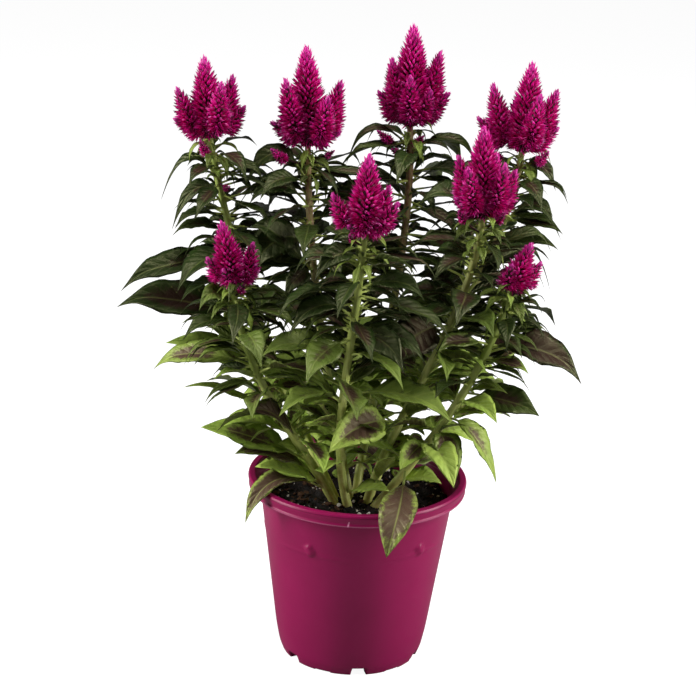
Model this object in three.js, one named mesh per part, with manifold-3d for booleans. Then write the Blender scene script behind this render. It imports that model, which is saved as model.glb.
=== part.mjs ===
// A plumed celosia in its nursery pot: eight leafy stems stand in the soil, and each carries one flower head
// of pointed spikes. Millimetres, +Z up, origin at the centre of the pot's underside, +X right, +Y back.
import * as THREE from "three";
import { mergeVertices } from "three/addons/utils/BufferGeometryUtils.js";
import Module from "manifold-3d";

const wasm = await Module();
wasm.setup();

// driving dimensions

const pot = {
  height: 147,
  rimRadius: 85, // outside of the rim band
  rimBand: 10, // height of the rim band
  rimLip: 1.4, // how far the band's two edges stand out of its groove
  rimGroove: 2.8, // height of the groove over the band's lower edge
  edge: 1.5, // cut corners of the band and of the floor's edge
  mouthRadius: 79.5,
  shoulderRadius: 75.4, // body just under the rim band
  bodyFootRadius: 59.4, // body above the rounded foot
  footRound: 21, // height at which the foot starts to round in
  footSwell: 2.8, // how far the rounding has come out at a third of that height
  footRadius: 53.8,
  wall: 1.8,
  floorTop: 9,
  floorUnderside: 6.8,
  padRadius: 27, // flat pad in the middle of the underside
  padSlope: 2, // how far its side leans out on the way up
  ringInnerRadius: 47, // inside of the foot ring
  sides: 32,
};
const drain = { count: 6, width: 12, height: 7, turn: 8, holeRadius: 3.5, holeAt: 40 };
const footNotch = { width: 14, height: 1.2 }; // shallow notches halfway between the drains
// how far a notch's sides lean in, its cut corners and its depth
const notchForm = { lean: 0.8, corner: 1, reach: 20 };

const soil = { level: 127, bump: 1.6, crown: 2.5, crownWidth: 30, gap: 0.3, rings: 4, sides: 18 };

const stem = {
  footZ: 117,
  footRadius: 3.5,
  topRadius: 2.3,
  sides: 6,
  rings: 10,
  holeGap: 0.4,
  headGap: 0.3,
};

const leaf = {
  petiole: 0.22, // share of the leaf's length that is stalk
  stalkHalfWidth: 1.1,
  stalkHalfDepth: 1.0,
  bladeHalfDepth: 0.65, // half the thickness at the midrib
  fold: 0.32, // rise of the margin over the midrib, as a share of the half width
  wave: 0.1, // wave of the margin, as a share of the half width
  waveRate: 13, // radians of wave from the blade's base to its tip
  waveLag: 1.3, // how much the second margin's wave is ahead
  leastLength: 46, // leaves shorter than this keep their place free, but aren't made
  // where a leaf's blade has its cross sections: [up to this length, places]
  stations: [
    [56, [0, 0.24, 0.5]],
    [96, [0, 0.23, 0.46, 0.76]],
    [Infinity, [0, 0.22, 0.4, 0.6, 0.82]],
  ],
};

// leaves at places along a stem: [place, length, half width / length, start pitch, end pitch]
const leafHabit = [
  [0.15, 46, 0.21, 35, -8],
  [0.3, 64, 0.2, 34, -14],
  [0.5, 84, 0.18, 30, -18],
  [0.7, 84, 0.165, 24, -24],
  [0.85, 74, 0.135, 20, -28],
  [1, 54, 0.11, 20, -34],
];

const foliage = {
  seed: 11,
  firstLeaf: 0.22,
  lastLeaf: 0.97,
  crowding: 0.68, // below 1, leaves stand closer together up the stem
  turnPerLeaf: 137.5, // degrees from one leaf to the next up the stem
  tries: 24,
  gap: 4.3, // least distance from sample points of another stem, leaf or head
  ownGap: 2.8, // the same, inside one stem
  ownFree: 0.36, // share of a leaf that is not tested against its own stem
  potGap: 3, // clear of the pot's wall, over its rim and over the soil
  rimGap: 4,
  soilGap: 6,
  stemSlack: 2.6, // how much thinner stems and spikes count than they are, since the gap is added to them
  spikeSlack: 2,
  frontTrim: 0.5, // how much shorter the lowest leaves are that point to the front, so that stems show
};

// how much one leaf differs from the next, and how each further try differs from the last
const variety = {
  turn: 0.3, // radians
  turnPerTry: 0.3,
  length: 0.4, // share
  lengthPerTry: 0.03,
  startPitch: 34, // degrees
  endPitch: 44,
  roll: 1.2, // radians
  phase: 6, // radians of wave
};

// how finely stems, spikes and leaves are sampled when they are tested for clearance
const samples = { stem: 36, spike: 6, leafAlong: 12, leafAcross: 2, leafStart: 0.08 };

// how far leaves may reach from the plant's axis: [height, radius]
const spread = [
  [125, 74],
  [152, 84],
  [200, 126],
  [260, 148],
  [330, 154],
  [400, 154],
];

const spike = {
  baseRadius: 5.6,
  radiusPerLength: 0.078,
  mainShare: 1.12, // how much stouter a main spike is
  rowPitch: 8.8, // from one row of florets to the next
  mainSides: 8,
  sides: 6,
  valley: 0.74, // radius of the hollows between florets, as a share of the spike's radius
  peak: 1.16, // radius of the florets' tips
  taper: 0.65, // share of the length over which a spike narrows to its tip
  sharpness: 0.64, // 1 makes that stretch a straight cone, less rounds it
  lift: 3.2, // how far a floret's tip leans up the spike
  footShare: 0.78, // radius at the root, as a share of the widest
  footRise: 1.6, // how fast it swells from there
  rootLow: 0.02, // height of the side spikes' roots, as a share of the main spike's length
  rootRise: 0.1, // how much it grows with the height of their tips
  rootOut: 0.5, // how far out they stand, as a share of the way to their tip
  fullOutAt: 0.5, // height of the tip from which they stand out that far; lower ones stand out less
};

// Each stem: its foot in the soil, the two points that bend it, and its top. tips are the spike tips of its
// head, the main spike first. keyLeaves are the large leaves: place on the stem, tip, arch over the chord,
// half width and roll about the midrib in degrees. lean is the bend's place along the chord, by default 0.5.
const stems = [
  {
    name: "far_left",
    foot: [-11, -8],
    bend: [-55, 8, 201],
    reach: [-100, 33, 283],
    top: [-123, 35, 400],
    leaves: 29,
    turn: 200,
    tips: [
      [-129, 35, 464], [-149, 30, 440], [-114, 20, 448], [-107, 44, 449],
      [-96, 38, 426], [-152, 34, 414], [-129, 55, 424],
    ],
    keyLeaves: [
      { at: 0.56, tip: [-190, 12, 279], arch: 4, half: 17, roll: 38 },
      { at: 0.72, tip: [-186, 2, 294], arch: 5, half: 12, roll: 35 },
      { at: 0.82, tip: [-149, 16, 335], arch: 27, half: 7, roll: 30 },
      { at: 0.9, tip: [-160, 40, 352], arch: 24, half: 6, roll: 20 },
      { at: 0.33, tip: [-151, 0, 250], arch: 10, half: 14, roll: 30 },
      { at: 0.09, tip: [-58, 38, 143], arch: 9, half: 14, roll: 10 },
    ],
  },
  {
    name: "mid_left",
    foot: [-3, -12],
    bend: [-24, 15, 207],
    reach: [-46, 32, 296],
    top: [-49, 45, 395],
    leaves: 30,
    turn: 40,
    tips: [
      [-53, 42, 474], [-68, 28, 451], [-25, 46, 448], [-34, 24, 440],
      [-79, 38, 414], [-23, 40, 408], [-57, 62, 436],
    ],
    keyLeaves: [
      { at: 0.9, tip: [-96, 34, 366], arch: 24, half: 9, roll: 35 },
      { at: 0.72, tip: [-92, 4, 300], arch: 22, half: 15, roll: 40 },
      { at: 0.66, tip: [-90, 8, 345], arch: 6, half: 15, roll: 40 },
      { at: 0.84, tip: [-91, 20, 358], arch: 14, half: 11, roll: 35 },
      { at: 0.09, tip: [-24, 60, 143], arch: 8, half: 14, roll: 0 },
    ],
  },
  {
    name: "mid_back",
    foot: [-2, -3],
    bend: [6, 36, 205],
    reach: [37, 62, 302],
    top: [28, 72, 408],
    leaves: 31,
    turn: 150,
    tips: [
      [27, 70, 489], [11, 66, 463], [49, 72, 469], [58, 68, 437],
      [1, 66, 436], [26, 50, 453], [43, 54, 441], [30, 92, 455],
    ],
    keyLeaves: [
      { at: 0.94, tip: [-20, 58, 390], arch: 16, half: 5, roll: 20 },
      { at: 0.93, tip: [84, 66, 384], arch: 16, half: 6, roll: -20 },
      { at: 0.82, tip: [-40, 36, 343], arch: 10, half: 12, roll: 30 },
      { at: 0.09, tip: [22, 64, 142], arch: 8, half: 15, roll: 0 },
    ],
  },
  {
    name: "far_right",
    foot: [7, -3],
    bend: [32, 33, 210],
    reach: [104, 51, 291],
    top: [114, 55, 395],
    leaves: 30,
    turn: 310,
    tips: [
      [118, 60, 466], [88, 60, 448], [125, 42, 445], [139, 62, 445],
      [142, 56, 416], [77, 58, 421], [107, 76, 432],
    ],
    keyLeaves: [
      { at: 0.95, tip: [141, 44, 371], arch: 12, half: 7, roll: -30 },
      { at: 0.8, tip: [140, 20, 350], arch: 16, half: 8, roll: -30 },
      { at: 0.82, tip: [36, 20, 366], arch: 10, half: 11, roll: 30 },
      { at: 0.09, tip: [63, 40, 143], arch: 9, half: 15, roll: -10 },
    ],
  },
  {
    name: "right",
    foot: [6, -12],
    bend: [19, -9, 198],
    reach: [79, -19, 274],
    top: [83, -20, 362],
    leaves: 28,
    turn: 90,
    tips: [
      [80, -20, 433], [69, -36, 405], [62, -16, 409], [91, -10, 411],
      [97, -30, 408], [106, -20, 401], [105, -24, 381], [60, -26, 378],
    ],
    keyLeaves: [
      { at: 0.86, tip: [136, -18, 352], arch: 9, half: 6, roll: -30 },
      { at: 0.72, tip: [140, 14, 318], arch: 26, half: 9, roll: -20 },
      { at: 0.32, tip: [-22, -73, 194], arch: 11, half: 16, roll: 46 },
      { at: 0.66, tip: [20, -66, 261], arch: 8, half: 17, roll: 42 },
      { at: 0.3, tip: [91, -6, 180], arch: 8, half: 10, roll: -20 },
      { at: 0.1, tip: [26, -38, 178], arch: 3, half: 8, roll: 0 },
    ],
  },
  {
    name: "front",
    foot: [-3, -21],
    bend: [-27, -26, 185],
    reach: [-6, -69, 265],
    top: [-3, -72, 361],
    leaves: 27,
    turn: 250,
    tips: [
      [-2, -72, 421], [-28, -72, 390], [14, -68, 397], [21, -78, 387],
      [-16, -82, 368], [19, -78, 368], [-4, -54, 388],
    ],
    keyLeaves: [
      { at: 0.7, tip: [30, -92, 268], arch: 9, half: 11, roll: -38 },
      { at: 0.75, tip: [-54, -92, 292], arch: 16, half: 11, roll: 20 },
      { at: 0.84, tip: [42, -88, 322], arch: 9, half: 10, roll: -25 },
      { at: 0.92, tip: [-37, -90, 332], arch: 12, half: 9, roll: 35 },
    ],
  },
  {
    name: "low_left",
    foot: [-11, -17],
    bend: [-39, -23, 179],
    reach: [-88, -52, 232],
    top: [-97, -54, 313],
    leaves: 22,
    turn: 20,
    tips: [
      [-107, -54, 362], [-83, -52, 346], [-117, -58, 334],
      [-104, -66, 328], [-79, -56, 330], [-100, -40, 342],
    ],
    keyLeaves: [
      { at: 0.84, tip: [-120, -70, 300], arch: 17, half: 9, roll: 30 },
      { at: 0.44, tip: [-133, -46, 232], arch: 6, half: 6, roll: 10 },
      { at: 0.7, tip: [-157, -30, 241], arch: 10, half: 11, roll: 35 },
      { at: 0.26, tip: [-120, -34, 194], arch: 6, half: 14, roll: 30 },
      { at: 0.12, tip: [-83, -58, 127], arch: 23, lean: 0.72, half: 10, roll: 15 },
      { at: 0.33, tip: [-82, -64, 220], arch: 10, half: 12, roll: 35 },
      { at: 0.18, tip: [-93, -46, 178], arch: 9, half: 11, roll: 25 },
    ],
  },
  {
    name: "low_right",
    foot: [6, -21],
    bend: [62, -16, 192],
    reach: [90, -34, 242],
    top: [107, -30, 310],
    leaves: 18,
    turn: 120,
    tips: [
      [120, -30, 349], [129, -26, 333], [106, -38, 334], [117, -20, 332], [103, -24, 326],
    ],
    keyLeaves: [
      { at: 0.74, tip: [164, -35, 247], arch: 12, half: 15, roll: -35 },
      { at: 0.56, tip: [134, -40, 219], arch: 3, half: 13, roll: -40 },
      { at: 0.3, tip: [72, -70, 168], arch: 14, half: 13, roll: 0 },
      { at: 0.2, tip: [24, -103, 125], arch: 18, lean: 0.9, half: 14, roll: 0 },
      { at: 0.44, tip: [106, -30, 158], arch: 14, half: 11, roll: -20 },
      { at: 0.38, tip: [73, -52, 162], arch: 12, half: 12, roll: 0 },
    ],
  },
];

// small helpers

const up = new THREE.Vector3(0, 0, 1);
const point = (xyz) => new THREE.Vector3(...xyz);
const radians = THREE.MathUtils.degToRad;

// an even spread of values from 0 to 1 that depends only on the seed and two whole numbers
function draw(count, kind) {
  const wave = Math.sin(foliage.seed + count * 12.9898 + kind * 78.233) * 43758.5453;
  return wave - Math.floor(wave);
}

// straight-line reading of a table whose first column rises; gives the columns asked for
function readTable(table, at, column = 1) {
  const above = table.findIndex((row) => row[0] >= at);
  if (above === 0) {
    return table[0][column];
  }
  if (above < 0) {
    return table[table.length - 1][column];
  }
  const [low, high] = [table[above - 1], table[above]];
  return THREE.MathUtils.mapLinear(at, low[0], high[0], low[column], high[column]);
}

// A closed surface through rings of equal length, anticlockwise seen from the last one. apex closes the end
// with a point. slant(i, j) picks the diagonal of the patch between rings i and i + 1.
function loft(rings, apex = null, slant = () => true) {
  const sides = rings[0].length;
  const positions = rings.flat();
  const faces = [];
  for (let j = 1; j < sides - 1; j++) {
    faces.push(0, j + 1, j);
  }
  for (let i = 0; i + 1 < rings.length; i++) {
    for (let j = 0; j < sides; j++) {
      const a = i * sides + j;
      const b = i * sides + ((j + 1) % sides);
      const [c, d] = [b + sides, a + sides];
      faces.push(...(slant(i, j) ? [a, b, c, a, c, d] : [a, b, d, b, c, d]));
    }
  }
  const last = (rings.length - 1) * sides;
  if (apex) {
    positions.push(apex);
    for (let j = 0; j < sides; j++) {
      faces.push(last + j, last + ((j + 1) % sides), positions.length - 1);
    }
  } else {
    for (let j = 1; j < sides - 1; j++) {
      faces.push(last, last + j, last + j + 1);
    }
  }
  const geometry = new THREE.BufferGeometry().setFromPoints(positions);
  geometry.setIndex(faces);
  return geometry;
}

function toSolid(geometry) {
  let bare = geometry.clone();
  bare.deleteAttribute("normal");
  bare.deleteAttribute("uv");
  bare = mergeVertices(bare, 1e-4);
  return new wasm.Manifold(
    new wasm.Mesh({
      numProp: 3,
      vertProperties: new Float32Array(bare.attributes.position.array),
      triVerts: new Uint32Array(bare.index.array),
    }),
  );
}

function toGeometry(solid) {
  const mesh = solid.getMesh();
  const geometry = new THREE.BufferGeometry();
  geometry.setAttribute("position", new THREE.BufferAttribute(mesh.vertProperties, 3));
  geometry.setIndex(new THREE.BufferAttribute(mesh.triVerts, 1));
  geometry.computeVertexNormals();
  return geometry;
}

// pot

const bodySlope = (pot.shoulderRadius - pot.bodyFootRadius) / (pot.height - pot.rimBand - pot.footRound);
const outerRadiusAt = (z) => pot.bodyFootRadius + (z - pot.footRound) * bodySlope;
const innerRadiusAt = (z) => outerRadiusAt(z) - pot.wall;

function turnedPot() {
  const bandFoot = pot.height - pot.rimBand;
  const footRise = pot.footRound / 3;
  const profile = [
    [0, 0],
    [pot.padRadius, 0],
    [pot.padRadius + pot.padSlope, pot.floorUnderside],
    [pot.ringInnerRadius, pot.floorUnderside],
    [pot.ringInnerRadius, 0],
    [pot.footRadius, 0],
    [pot.footRadius + pot.footSwell, footRise],
    [pot.bodyFootRadius, pot.footRound],
    [pot.shoulderRadius, bandFoot],
    [pot.rimRadius - pot.rimLip, bandFoot],
    [pot.rimRadius - pot.rimLip / 2, bandFoot + pot.edge],
    [pot.rimRadius - pot.rimLip, bandFoot + pot.rimGroove],
    [pot.rimRadius, pot.height - pot.edge],
    [pot.rimRadius - pot.edge, pot.height],
    [pot.mouthRadius, pot.height],
    [innerRadiusAt(bandFoot - pot.rimLip), bandFoot - pot.rimLip],
    [innerRadiusAt(pot.footRound), pot.footRound],
    [pot.footRadius - pot.edge, pot.floorTop],
    [0, pot.floorTop],
  ];
  const lathe = new THREE.LatheGeometry(
    profile.map(([r, z]) => new THREE.Vector2(r, z)),
    pot.sides,
  );
  return lathe.rotateX(Math.PI / 2);
}

// a notch through the foot ring with sides that close in towards its top
function notchCutter(width, height, angle) {
  const { lean, corner, reach } = notchForm;
  const half = width / 2;
  const outline = new THREE.Shape([
    new THREE.Vector2(-half, -corner),
    new THREE.Vector2(half, -corner),
    new THREE.Vector2(half - lean, height - corner),
    new THREE.Vector2(half - lean - corner, height),
    new THREE.Vector2(lean + corner - half, height),
    new THREE.Vector2(lean - half, height - corner),
  ]);
  const bar = new THREE.ExtrudeGeometry(outline, { depth: reach, bevelEnabled: false });
  bar.rotateX(Math.PI / 2);
  bar.translate(0, reach / 2 - pot.footRadius, 0);
  return bar.rotateZ(angle);
}

function drainCutter(angle) {
  const plug = new THREE.CylinderGeometry(drain.holeRadius, drain.holeRadius, pot.floorTop * 2, 8);
  plug.rotateX(Math.PI / 2);
  plug.translate(0, -drain.holeAt, pot.floorTop);
  return plug.rotateZ(angle);
}

function potSolid() {
  let body = toSolid(turnedPot());
  const step = (Math.PI * 2) / drain.count;
  for (let i = 0; i < drain.count; i++) {
    const angle = radians(drain.turn) + i * step;
    body = body.subtract(toSolid(notchCutter(drain.width, drain.height, angle)));
    body = body.subtract(toSolid(notchCutter(footNotch.width, footNotch.height, angle + step / 2)));
    body = body.subtract(toSolid(drainCutter(angle)));
  }
  return body;
}

// stems

const stemCurve = (row) =>
  new THREE.CubicBezierCurve3(
    new THREE.Vector3(...row.foot, stem.footZ),
    point(row.bend),
    point(row.reach),
    point(row.top),
  );
const stemRadiusAt = (at) => THREE.MathUtils.lerp(stem.footRadius, stem.topRadius, at);

// the direction of a head's main spike, which the stem's top face is square to
const headAxis = (row) => point(row.tips[0]).sub(point(row.top)).normalize();

// Rings square to the curve, turned as little as possible from one to the next. extra makes the stem fatter
// and its foot lower, for the hole that it stands in.
function stemSolid(row, curve, extra = 0) {
  const rings = [];
  let side = new THREE.Vector3(1, 0, 0);
  for (let i = 0; i < stem.rings; i++) {
    const at = i / (stem.rings - 1);
    const ahead = at < 1 ? curve.getTangent(at) : headAxis(row);
    const centre = curve.getPoint(at).addScaledVector(ahead, i === 0 ? -extra : 0);
    side = side.clone().addScaledVector(ahead, -side.dot(ahead)).normalize();
    const other = new THREE.Vector3().crossVectors(ahead, side);
    const radius = stemRadiusAt(at) + extra;
    rings.push(
      Array.from({ length: stem.sides }, (_, j) => {
        const angle = (j / stem.sides) * Math.PI * 2;
        return centre
          .clone()
          .addScaledVector(side, Math.cos(angle) * radius)
          .addScaledVector(other, Math.sin(angle) * radius);
      }),
    );
  }
  return toSolid(loft(rings));
}

// leaves

// half width of a blade at v, from 0 at its base to 1 at its tip, as a share of the widest: full near a third
// of the way and drawn out to the tip
const bladeOutline = (v) => 3.64 * Math.max(v, 0) ** 0.8 * Math.max(1 - v, 0) ** 1.1;

// A leaf is a curve from root over control to tip with a blade square to the upright plane through it. The
// blade is rolled about its midrib, folded up at the margins, and its margins wave.
function leafFrame(row, at) {
  const { root, control, tip } = row;
  const centre = new THREE.Vector3()
    .addScaledVector(root, (1 - at) ** 2)
    .addScaledVector(control, 2 * at * (1 - at))
    .addScaledVector(tip, at ** 2);
  const ahead = new THREE.Vector3()
    .addScaledVector(root, at - 1)
    .addScaledVector(control, 1 - 2 * at)
    .addScaledVector(tip, at)
    .normalize();
  const level = tip.clone().sub(root).cross(up).normalize();
  const top = new THREE.Vector3().crossVectors(level, ahead);
  const side = level.clone().applyAxisAngle(ahead, -row.roll);
  const normal = top.applyAxisAngle(ahead, -row.roll);
  const v = (at - leaf.petiole) / (1 - leaf.petiole);
  const halfWidth = Math.max(leaf.stalkHalfWidth * (1 - at), row.half * bladeOutline(v));
  return { centre, side, normal, halfWidth, v };
}

function leafPoint(row, at, across) {
  const { centre, side, normal, halfWidth, v } = leafFrame(row, at);
  const blade = v > 0 ? 1 : 0;
  const swing = Math.sin(row.phase + v * leaf.waveRate + (across > 0 ? leaf.waveLag : 0));
  const ripple = swing * leaf.wave * across * across;
  const rise = blade * halfWidth * (leaf.fold * Math.abs(across) + ripple);
  return centre.addScaledVector(side, halfWidth * across).addScaledVector(normal, rise);
}

function leafSolid(row) {
  const length = row.root.distanceTo(row.tip);
  const [, places] = leaf.stations.find(([upTo]) => length < upTo);
  const rings = places.map((at) => {
    const { centre, normal } = leafFrame(row, at);
    const depth = at < leaf.petiole ? leaf.stalkHalfDepth : leaf.bladeHalfDepth;
    return [
      leafPoint(row, at, -1),
      centre.clone().addScaledVector(normal, depth),
      leafPoint(row, at, 1),
      centre.clone().addScaledVector(normal, -depth),
    ];
  });
  return toSolid(loft(rings, row.tip, (i, j) => j % 2 === 0));
}

// where the leaves go

// spheres that leaves keep clear of: [x, y, z, radius, owner]
const obstacles = [];

function samplesOf(row) {
  const places = [];
  for (let i = 0; i <= samples.leafAlong; i++) {
    const at = THREE.MathUtils.lerp(samples.leafStart, 1, i / samples.leafAlong);
    for (let j = -samples.leafAcross; j <= samples.leafAcross; j++) {
      places.push({ at, place: leafPoint(row, at, j / samples.leafAcross) });
    }
  }
  return places;
}

// clear of the rim and wall of the pot, of the soil, and inside the plant's spread
function clearOfPot({ x, y, z }) {
  const radius = Math.hypot(x, y);
  const overRim = z > pot.height + foliage.rimGap;
  const inWall = radius < innerRadiusAt(Math.min(z, pot.height)) - foliage.potGap;
  const inside = inWall && z > soil.level + foliage.soilGap;
  return (overRim || inside) && radius < readTable(spread, z);
}

function isClear(places, owner) {
  return places.every(({ at, place }) => {
    if (!clearOfPot(place)) {
      return false;
    }
    return obstacles.every(([x, y, z, radius, otherOwner]) => {
      const own = owner === otherOwner;
      if (own && at < foliage.ownFree) {
        return true;
      }
      const least = radius + (own ? foliage.ownGap : foliage.gap);
      return (place.x - x) ** 2 + (place.y - y) ** 2 + (place.z - z) ** 2 > least ** 2;
    });
  });
}

function keep(list, row, owner) {
  list.push(row);
  samplesOf(row).forEach(({ place }) => obstacles.push([place.x, place.y, place.z, 0, owner]));
}

function keyLeaf(curve, shape, count) {
  const root = curve.getPoint(shape.at);
  const tip = point(shape.tip);
  const control = root.clone().lerp(tip, shape.lean ?? 0.5).addScaledVector(up, shape.arch * 2);
  const phase = draw(count, 2) * variety.phase;
  return { root, control, tip, half: shape.half, roll: radians(shape.roll), phase };
}

// the leaf at one place of a stem; each further try turns it more, pitches it anew and makes it shorter
function ruledLeaf(curve, row, at, number, count, attempt) {
  const [length, slimness, start, end] = [1, 2, 3, 4].map((column) => readTable(leafHabit, at, column));
  const vary = (kind) => draw(count, kind + attempt * 7) - 0.5;
  const turned = radians(row.turn + number * foliage.turnPerLeaf);
  const azimuth = turned + vary(3) * (variety.turn + attempt * variety.turnPerTry);
  const trim = foliage.frontTrim * Math.max(0, -Math.sin(azimuth)) * (1 - at);
  const reach = length * (1 + vary(4) * variety.length) * (1 - attempt * variety.lengthPerTry) * (1 - trim);
  const heading = new THREE.Vector3(Math.cos(azimuth), Math.sin(azimuth), 0);
  const along = (pitch) => {
    const level = heading.clone().multiplyScalar(Math.cos(pitch));
    return level.addScaledVector(up, Math.sin(pitch));
  };
  const rise = along(radians(start + vary(5) * variety.startPitch));
  const fall = along(radians(end + vary(6) * variety.endPitch));
  const root = curve.getPoint(at);
  const control = root.clone().addScaledVector(rise, reach / 2);
  const tip = control.clone().addScaledVector(fall, reach / 2);
  const phase = draw(count, 2) * variety.phase;
  return { root, control, tip, half: reach * slimness, roll: vary(7) * variety.roll, phase };
}

const headStart = (row) => point(row.top).addScaledVector(headAxis(row), stem.headGap);

// The main spike stands on the stem. A side spike's root is set out from the main spike's line towards its
// own tip, and a little higher for the spikes that end higher.
function spikeRoot(start, tips, index) {
  const main = point(tips[0]).sub(start);
  if (index === 0) {
    return start;
  }
  const height = (tips[index][2] - start.z) / main.z;
  const outward = point(tips[index]).sub(start).addScaledVector(main, -height);
  return start
    .clone()
    .addScaledVector(main, spike.rootLow + spike.rootRise * height)
    .addScaledVector(outward, spike.rootOut * Math.min(1, height / spike.fullOutAt));
}
function spikeRadius(root, tip, index) {
  const radius = spike.baseRadius + spike.radiusPerLength * root.distanceTo(tip);
  return index === 0 ? radius * spike.mainShare : radius;
}

// A spike swells quickly from its root, s = 0, keeps its width and then narrows to its tip, s = 1.
const spikeOutline = (s) =>
  Math.min(1, spike.footShare + spike.footRise * s) * Math.min(1, (1 - s) / spike.taper) ** spike.sharpness;

function layFoliage(curves) {
  stems.forEach((row, owner) => {
    for (let i = 0; i <= samples.stem; i++) {
      const at = i / samples.stem;
      obstacles.push([...curves[owner].getPoint(at), stemRadiusAt(at) - foliage.stemSlack, owner]);
    }
    const start = headStart(row);
    row.tips.forEach((tip, index) => {
      const root = spikeRoot(start, row.tips, index);
      for (let i = 0; i <= samples.spike; i++) {
        const centre = root.clone().lerp(point(tip), i / samples.spike);
        const radius = spikeRadius(root, point(tip), index) * spike.peak * spikeOutline(i / samples.spike);
        obstacles.push([...centre, radius - foliage.spikeSlack, owner + stems.length]);
      }
    });
  });
  const lists = stems.map(() => []);
  stems.forEach((row, owner) => {
    row.keyLeaves.forEach((shape, i) => {
      keep(lists[owner], keyLeaf(curves[owner], shape, owner * 10 + i), owner);
    });
  });
  let count = 100;
  stems.forEach((row, owner) => {
    for (let number = 0; number < row.leaves; number++) {
      const share = (number / (row.leaves - 1)) ** foliage.crowding;
      const at = THREE.MathUtils.lerp(foliage.firstLeaf, foliage.lastLeaf, share);
      count += 1;
      for (let attempt = 0; attempt < foliage.tries; attempt++) {
        const tried = ruledLeaf(curves[owner], row, at, number, count, attempt);
        if (isClear(samplesOf(tried), owner)) {
          keep(lists[owner], tried, owner);
          break;
        }
      }
    }
  });
  return lists;
}

// flower heads

// Every other point of a spike's net is a floret: it stands out and up, and the points between them lie in
// the hollows.
function spikeSolid(root, tip, index) {
  const sides = index === 0 ? spike.mainSides : spike.sides;
  const ahead = tip.clone().sub(root);
  const length = ahead.length();
  const rows = Math.round(length / spike.rowPitch);
  ahead.normalize();
  const side = new THREE.Vector3(0, 1, 0).cross(ahead).normalize();
  const other = new THREE.Vector3().crossVectors(ahead, side);
  const radius = spikeRadius(root, tip, index);
  const rings = Array.from({ length: rows }, (_, i) =>
    Array.from({ length: sides }, (_, j) => {
      const floret = i > 0 && (i + j) % 2 === 0;
      const angle = (j / sides) * Math.PI * 2;
      const out = radius * spikeOutline(i / rows) * (floret ? spike.peak : spike.valley);
      return root
        .clone()
        .addScaledVector(ahead, (i / rows) * length + (floret ? spike.lift : 0))
        .addScaledVector(side, Math.cos(angle) * out)
        .addScaledVector(other, Math.sin(angle) * out);
    }),
  );
  return toSolid(loft(rings, tip, (i, j) => (i + j) % 2 === 1));
}

// The spikes of a head, fused. Where they meet they can shut in a little hollow, which counts as a body with
// a volume below zero: keeping only the largest body fills it.
function headSolid(row, start) {
  const spikes = row.tips.map((tip, index) => {
    const root = spikeRoot(start, row.tips, index);
    return spikeSolid(root, point(tip), index);
  });
  const bodies = wasm.Manifold.union(spikes).decompose();
  return bodies.reduce((largest, body) => (body.volume() > largest.volume() ? body : largest));
}

// soil

// a plug that fills the pot with its top heaped a little round the stems and lumpy by a sum of waves
function soilSolid(curves) {
  const heightAt = (x, y) => {
    const lumps = Math.sin(x * 0.19 + 1) * Math.cos(y * 0.16) + 0.6 * Math.sin(x * 0.41 + y * 0.37);
    return soil.level + soil.bump * lumps + soil.crown * Math.exp(-(x * x + y * y) / soil.crownWidth ** 2);
  };
  const ring = (radius, z) =>
    Array.from({ length: soil.sides }, (_, j) => {
      const angle = (j / soil.sides) * Math.PI * 2;
      const [x, y] = [Math.cos(angle) * radius, Math.sin(angle) * radius];
      return new THREE.Vector3(x, y, z ?? heightAt(x, y));
    });
  const foot = pot.floorTop + soil.gap;
  const edge = innerRadiusAt(soil.level - soil.bump * 2) - soil.gap;
  const footEdge = pot.footRadius - pot.edge - soil.gap * 2;
  const rings = [ring(footEdge, foot), ring(innerRadiusAt(pot.footRound) - soil.gap * 2, pot.footRound)];
  for (let i = 0; i < soil.rings; i++) {
    rings.push(ring(edge * (1 - i / soil.rings)));
  }
  let body = toSolid(loft(rings, new THREE.Vector3(0, 0, heightAt(0, 0))));
  stems.forEach((row, i) => {
    body = body.subtract(stemSolid(row, curves[i], stem.holeGap));
  });
  return body;
}

// the plant

const finishes = {
  pot: { color: 0x8e2552, roughness: 0.42, metalness: 0 },
  soil: { color: 0x1c1613, roughness: 0.98, metalness: 0 },
  foliage: { color: 0x35552a, roughness: 0.5, metalness: 0 },
  flower: { color: 0xb5086a, roughness: 0.55, metalness: 0 },
};

function piece(name, solid, finish) {
  const mesh = new THREE.Mesh(toGeometry(solid), new THREE.MeshStandardMaterial(finish));
  mesh.name = name;
  return mesh;
}

const curves = stems.map(stemCurve);
const foliageLists = layFoliage(curves);

const plant = new THREE.Group();
plant.name = "potted_celosia";
plant.add(piece("pot", potSolid(), finishes.pot));
plant.add(piece("soil", soilSolid(curves), finishes.soil));
stems.forEach((row, i) => {
  const grown = foliageLists[i].filter(({ root, tip }) => root.distanceTo(tip) > leaf.leastLength);
  const leafy = wasm.Manifold.union([stemSolid(row, curves[i]), ...grown.map(leafSolid)]);
  plant.add(piece(`leafy_stem_${row.name}`, leafy, finishes.foliage));
  plant.add(piece(`flower_head_${row.name}`, headSolid(row, headStart(row)), finishes.flower));
});

export default plant;
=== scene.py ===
import math

import bpy
import numpy as np
from mathutils import Matrix


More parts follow.
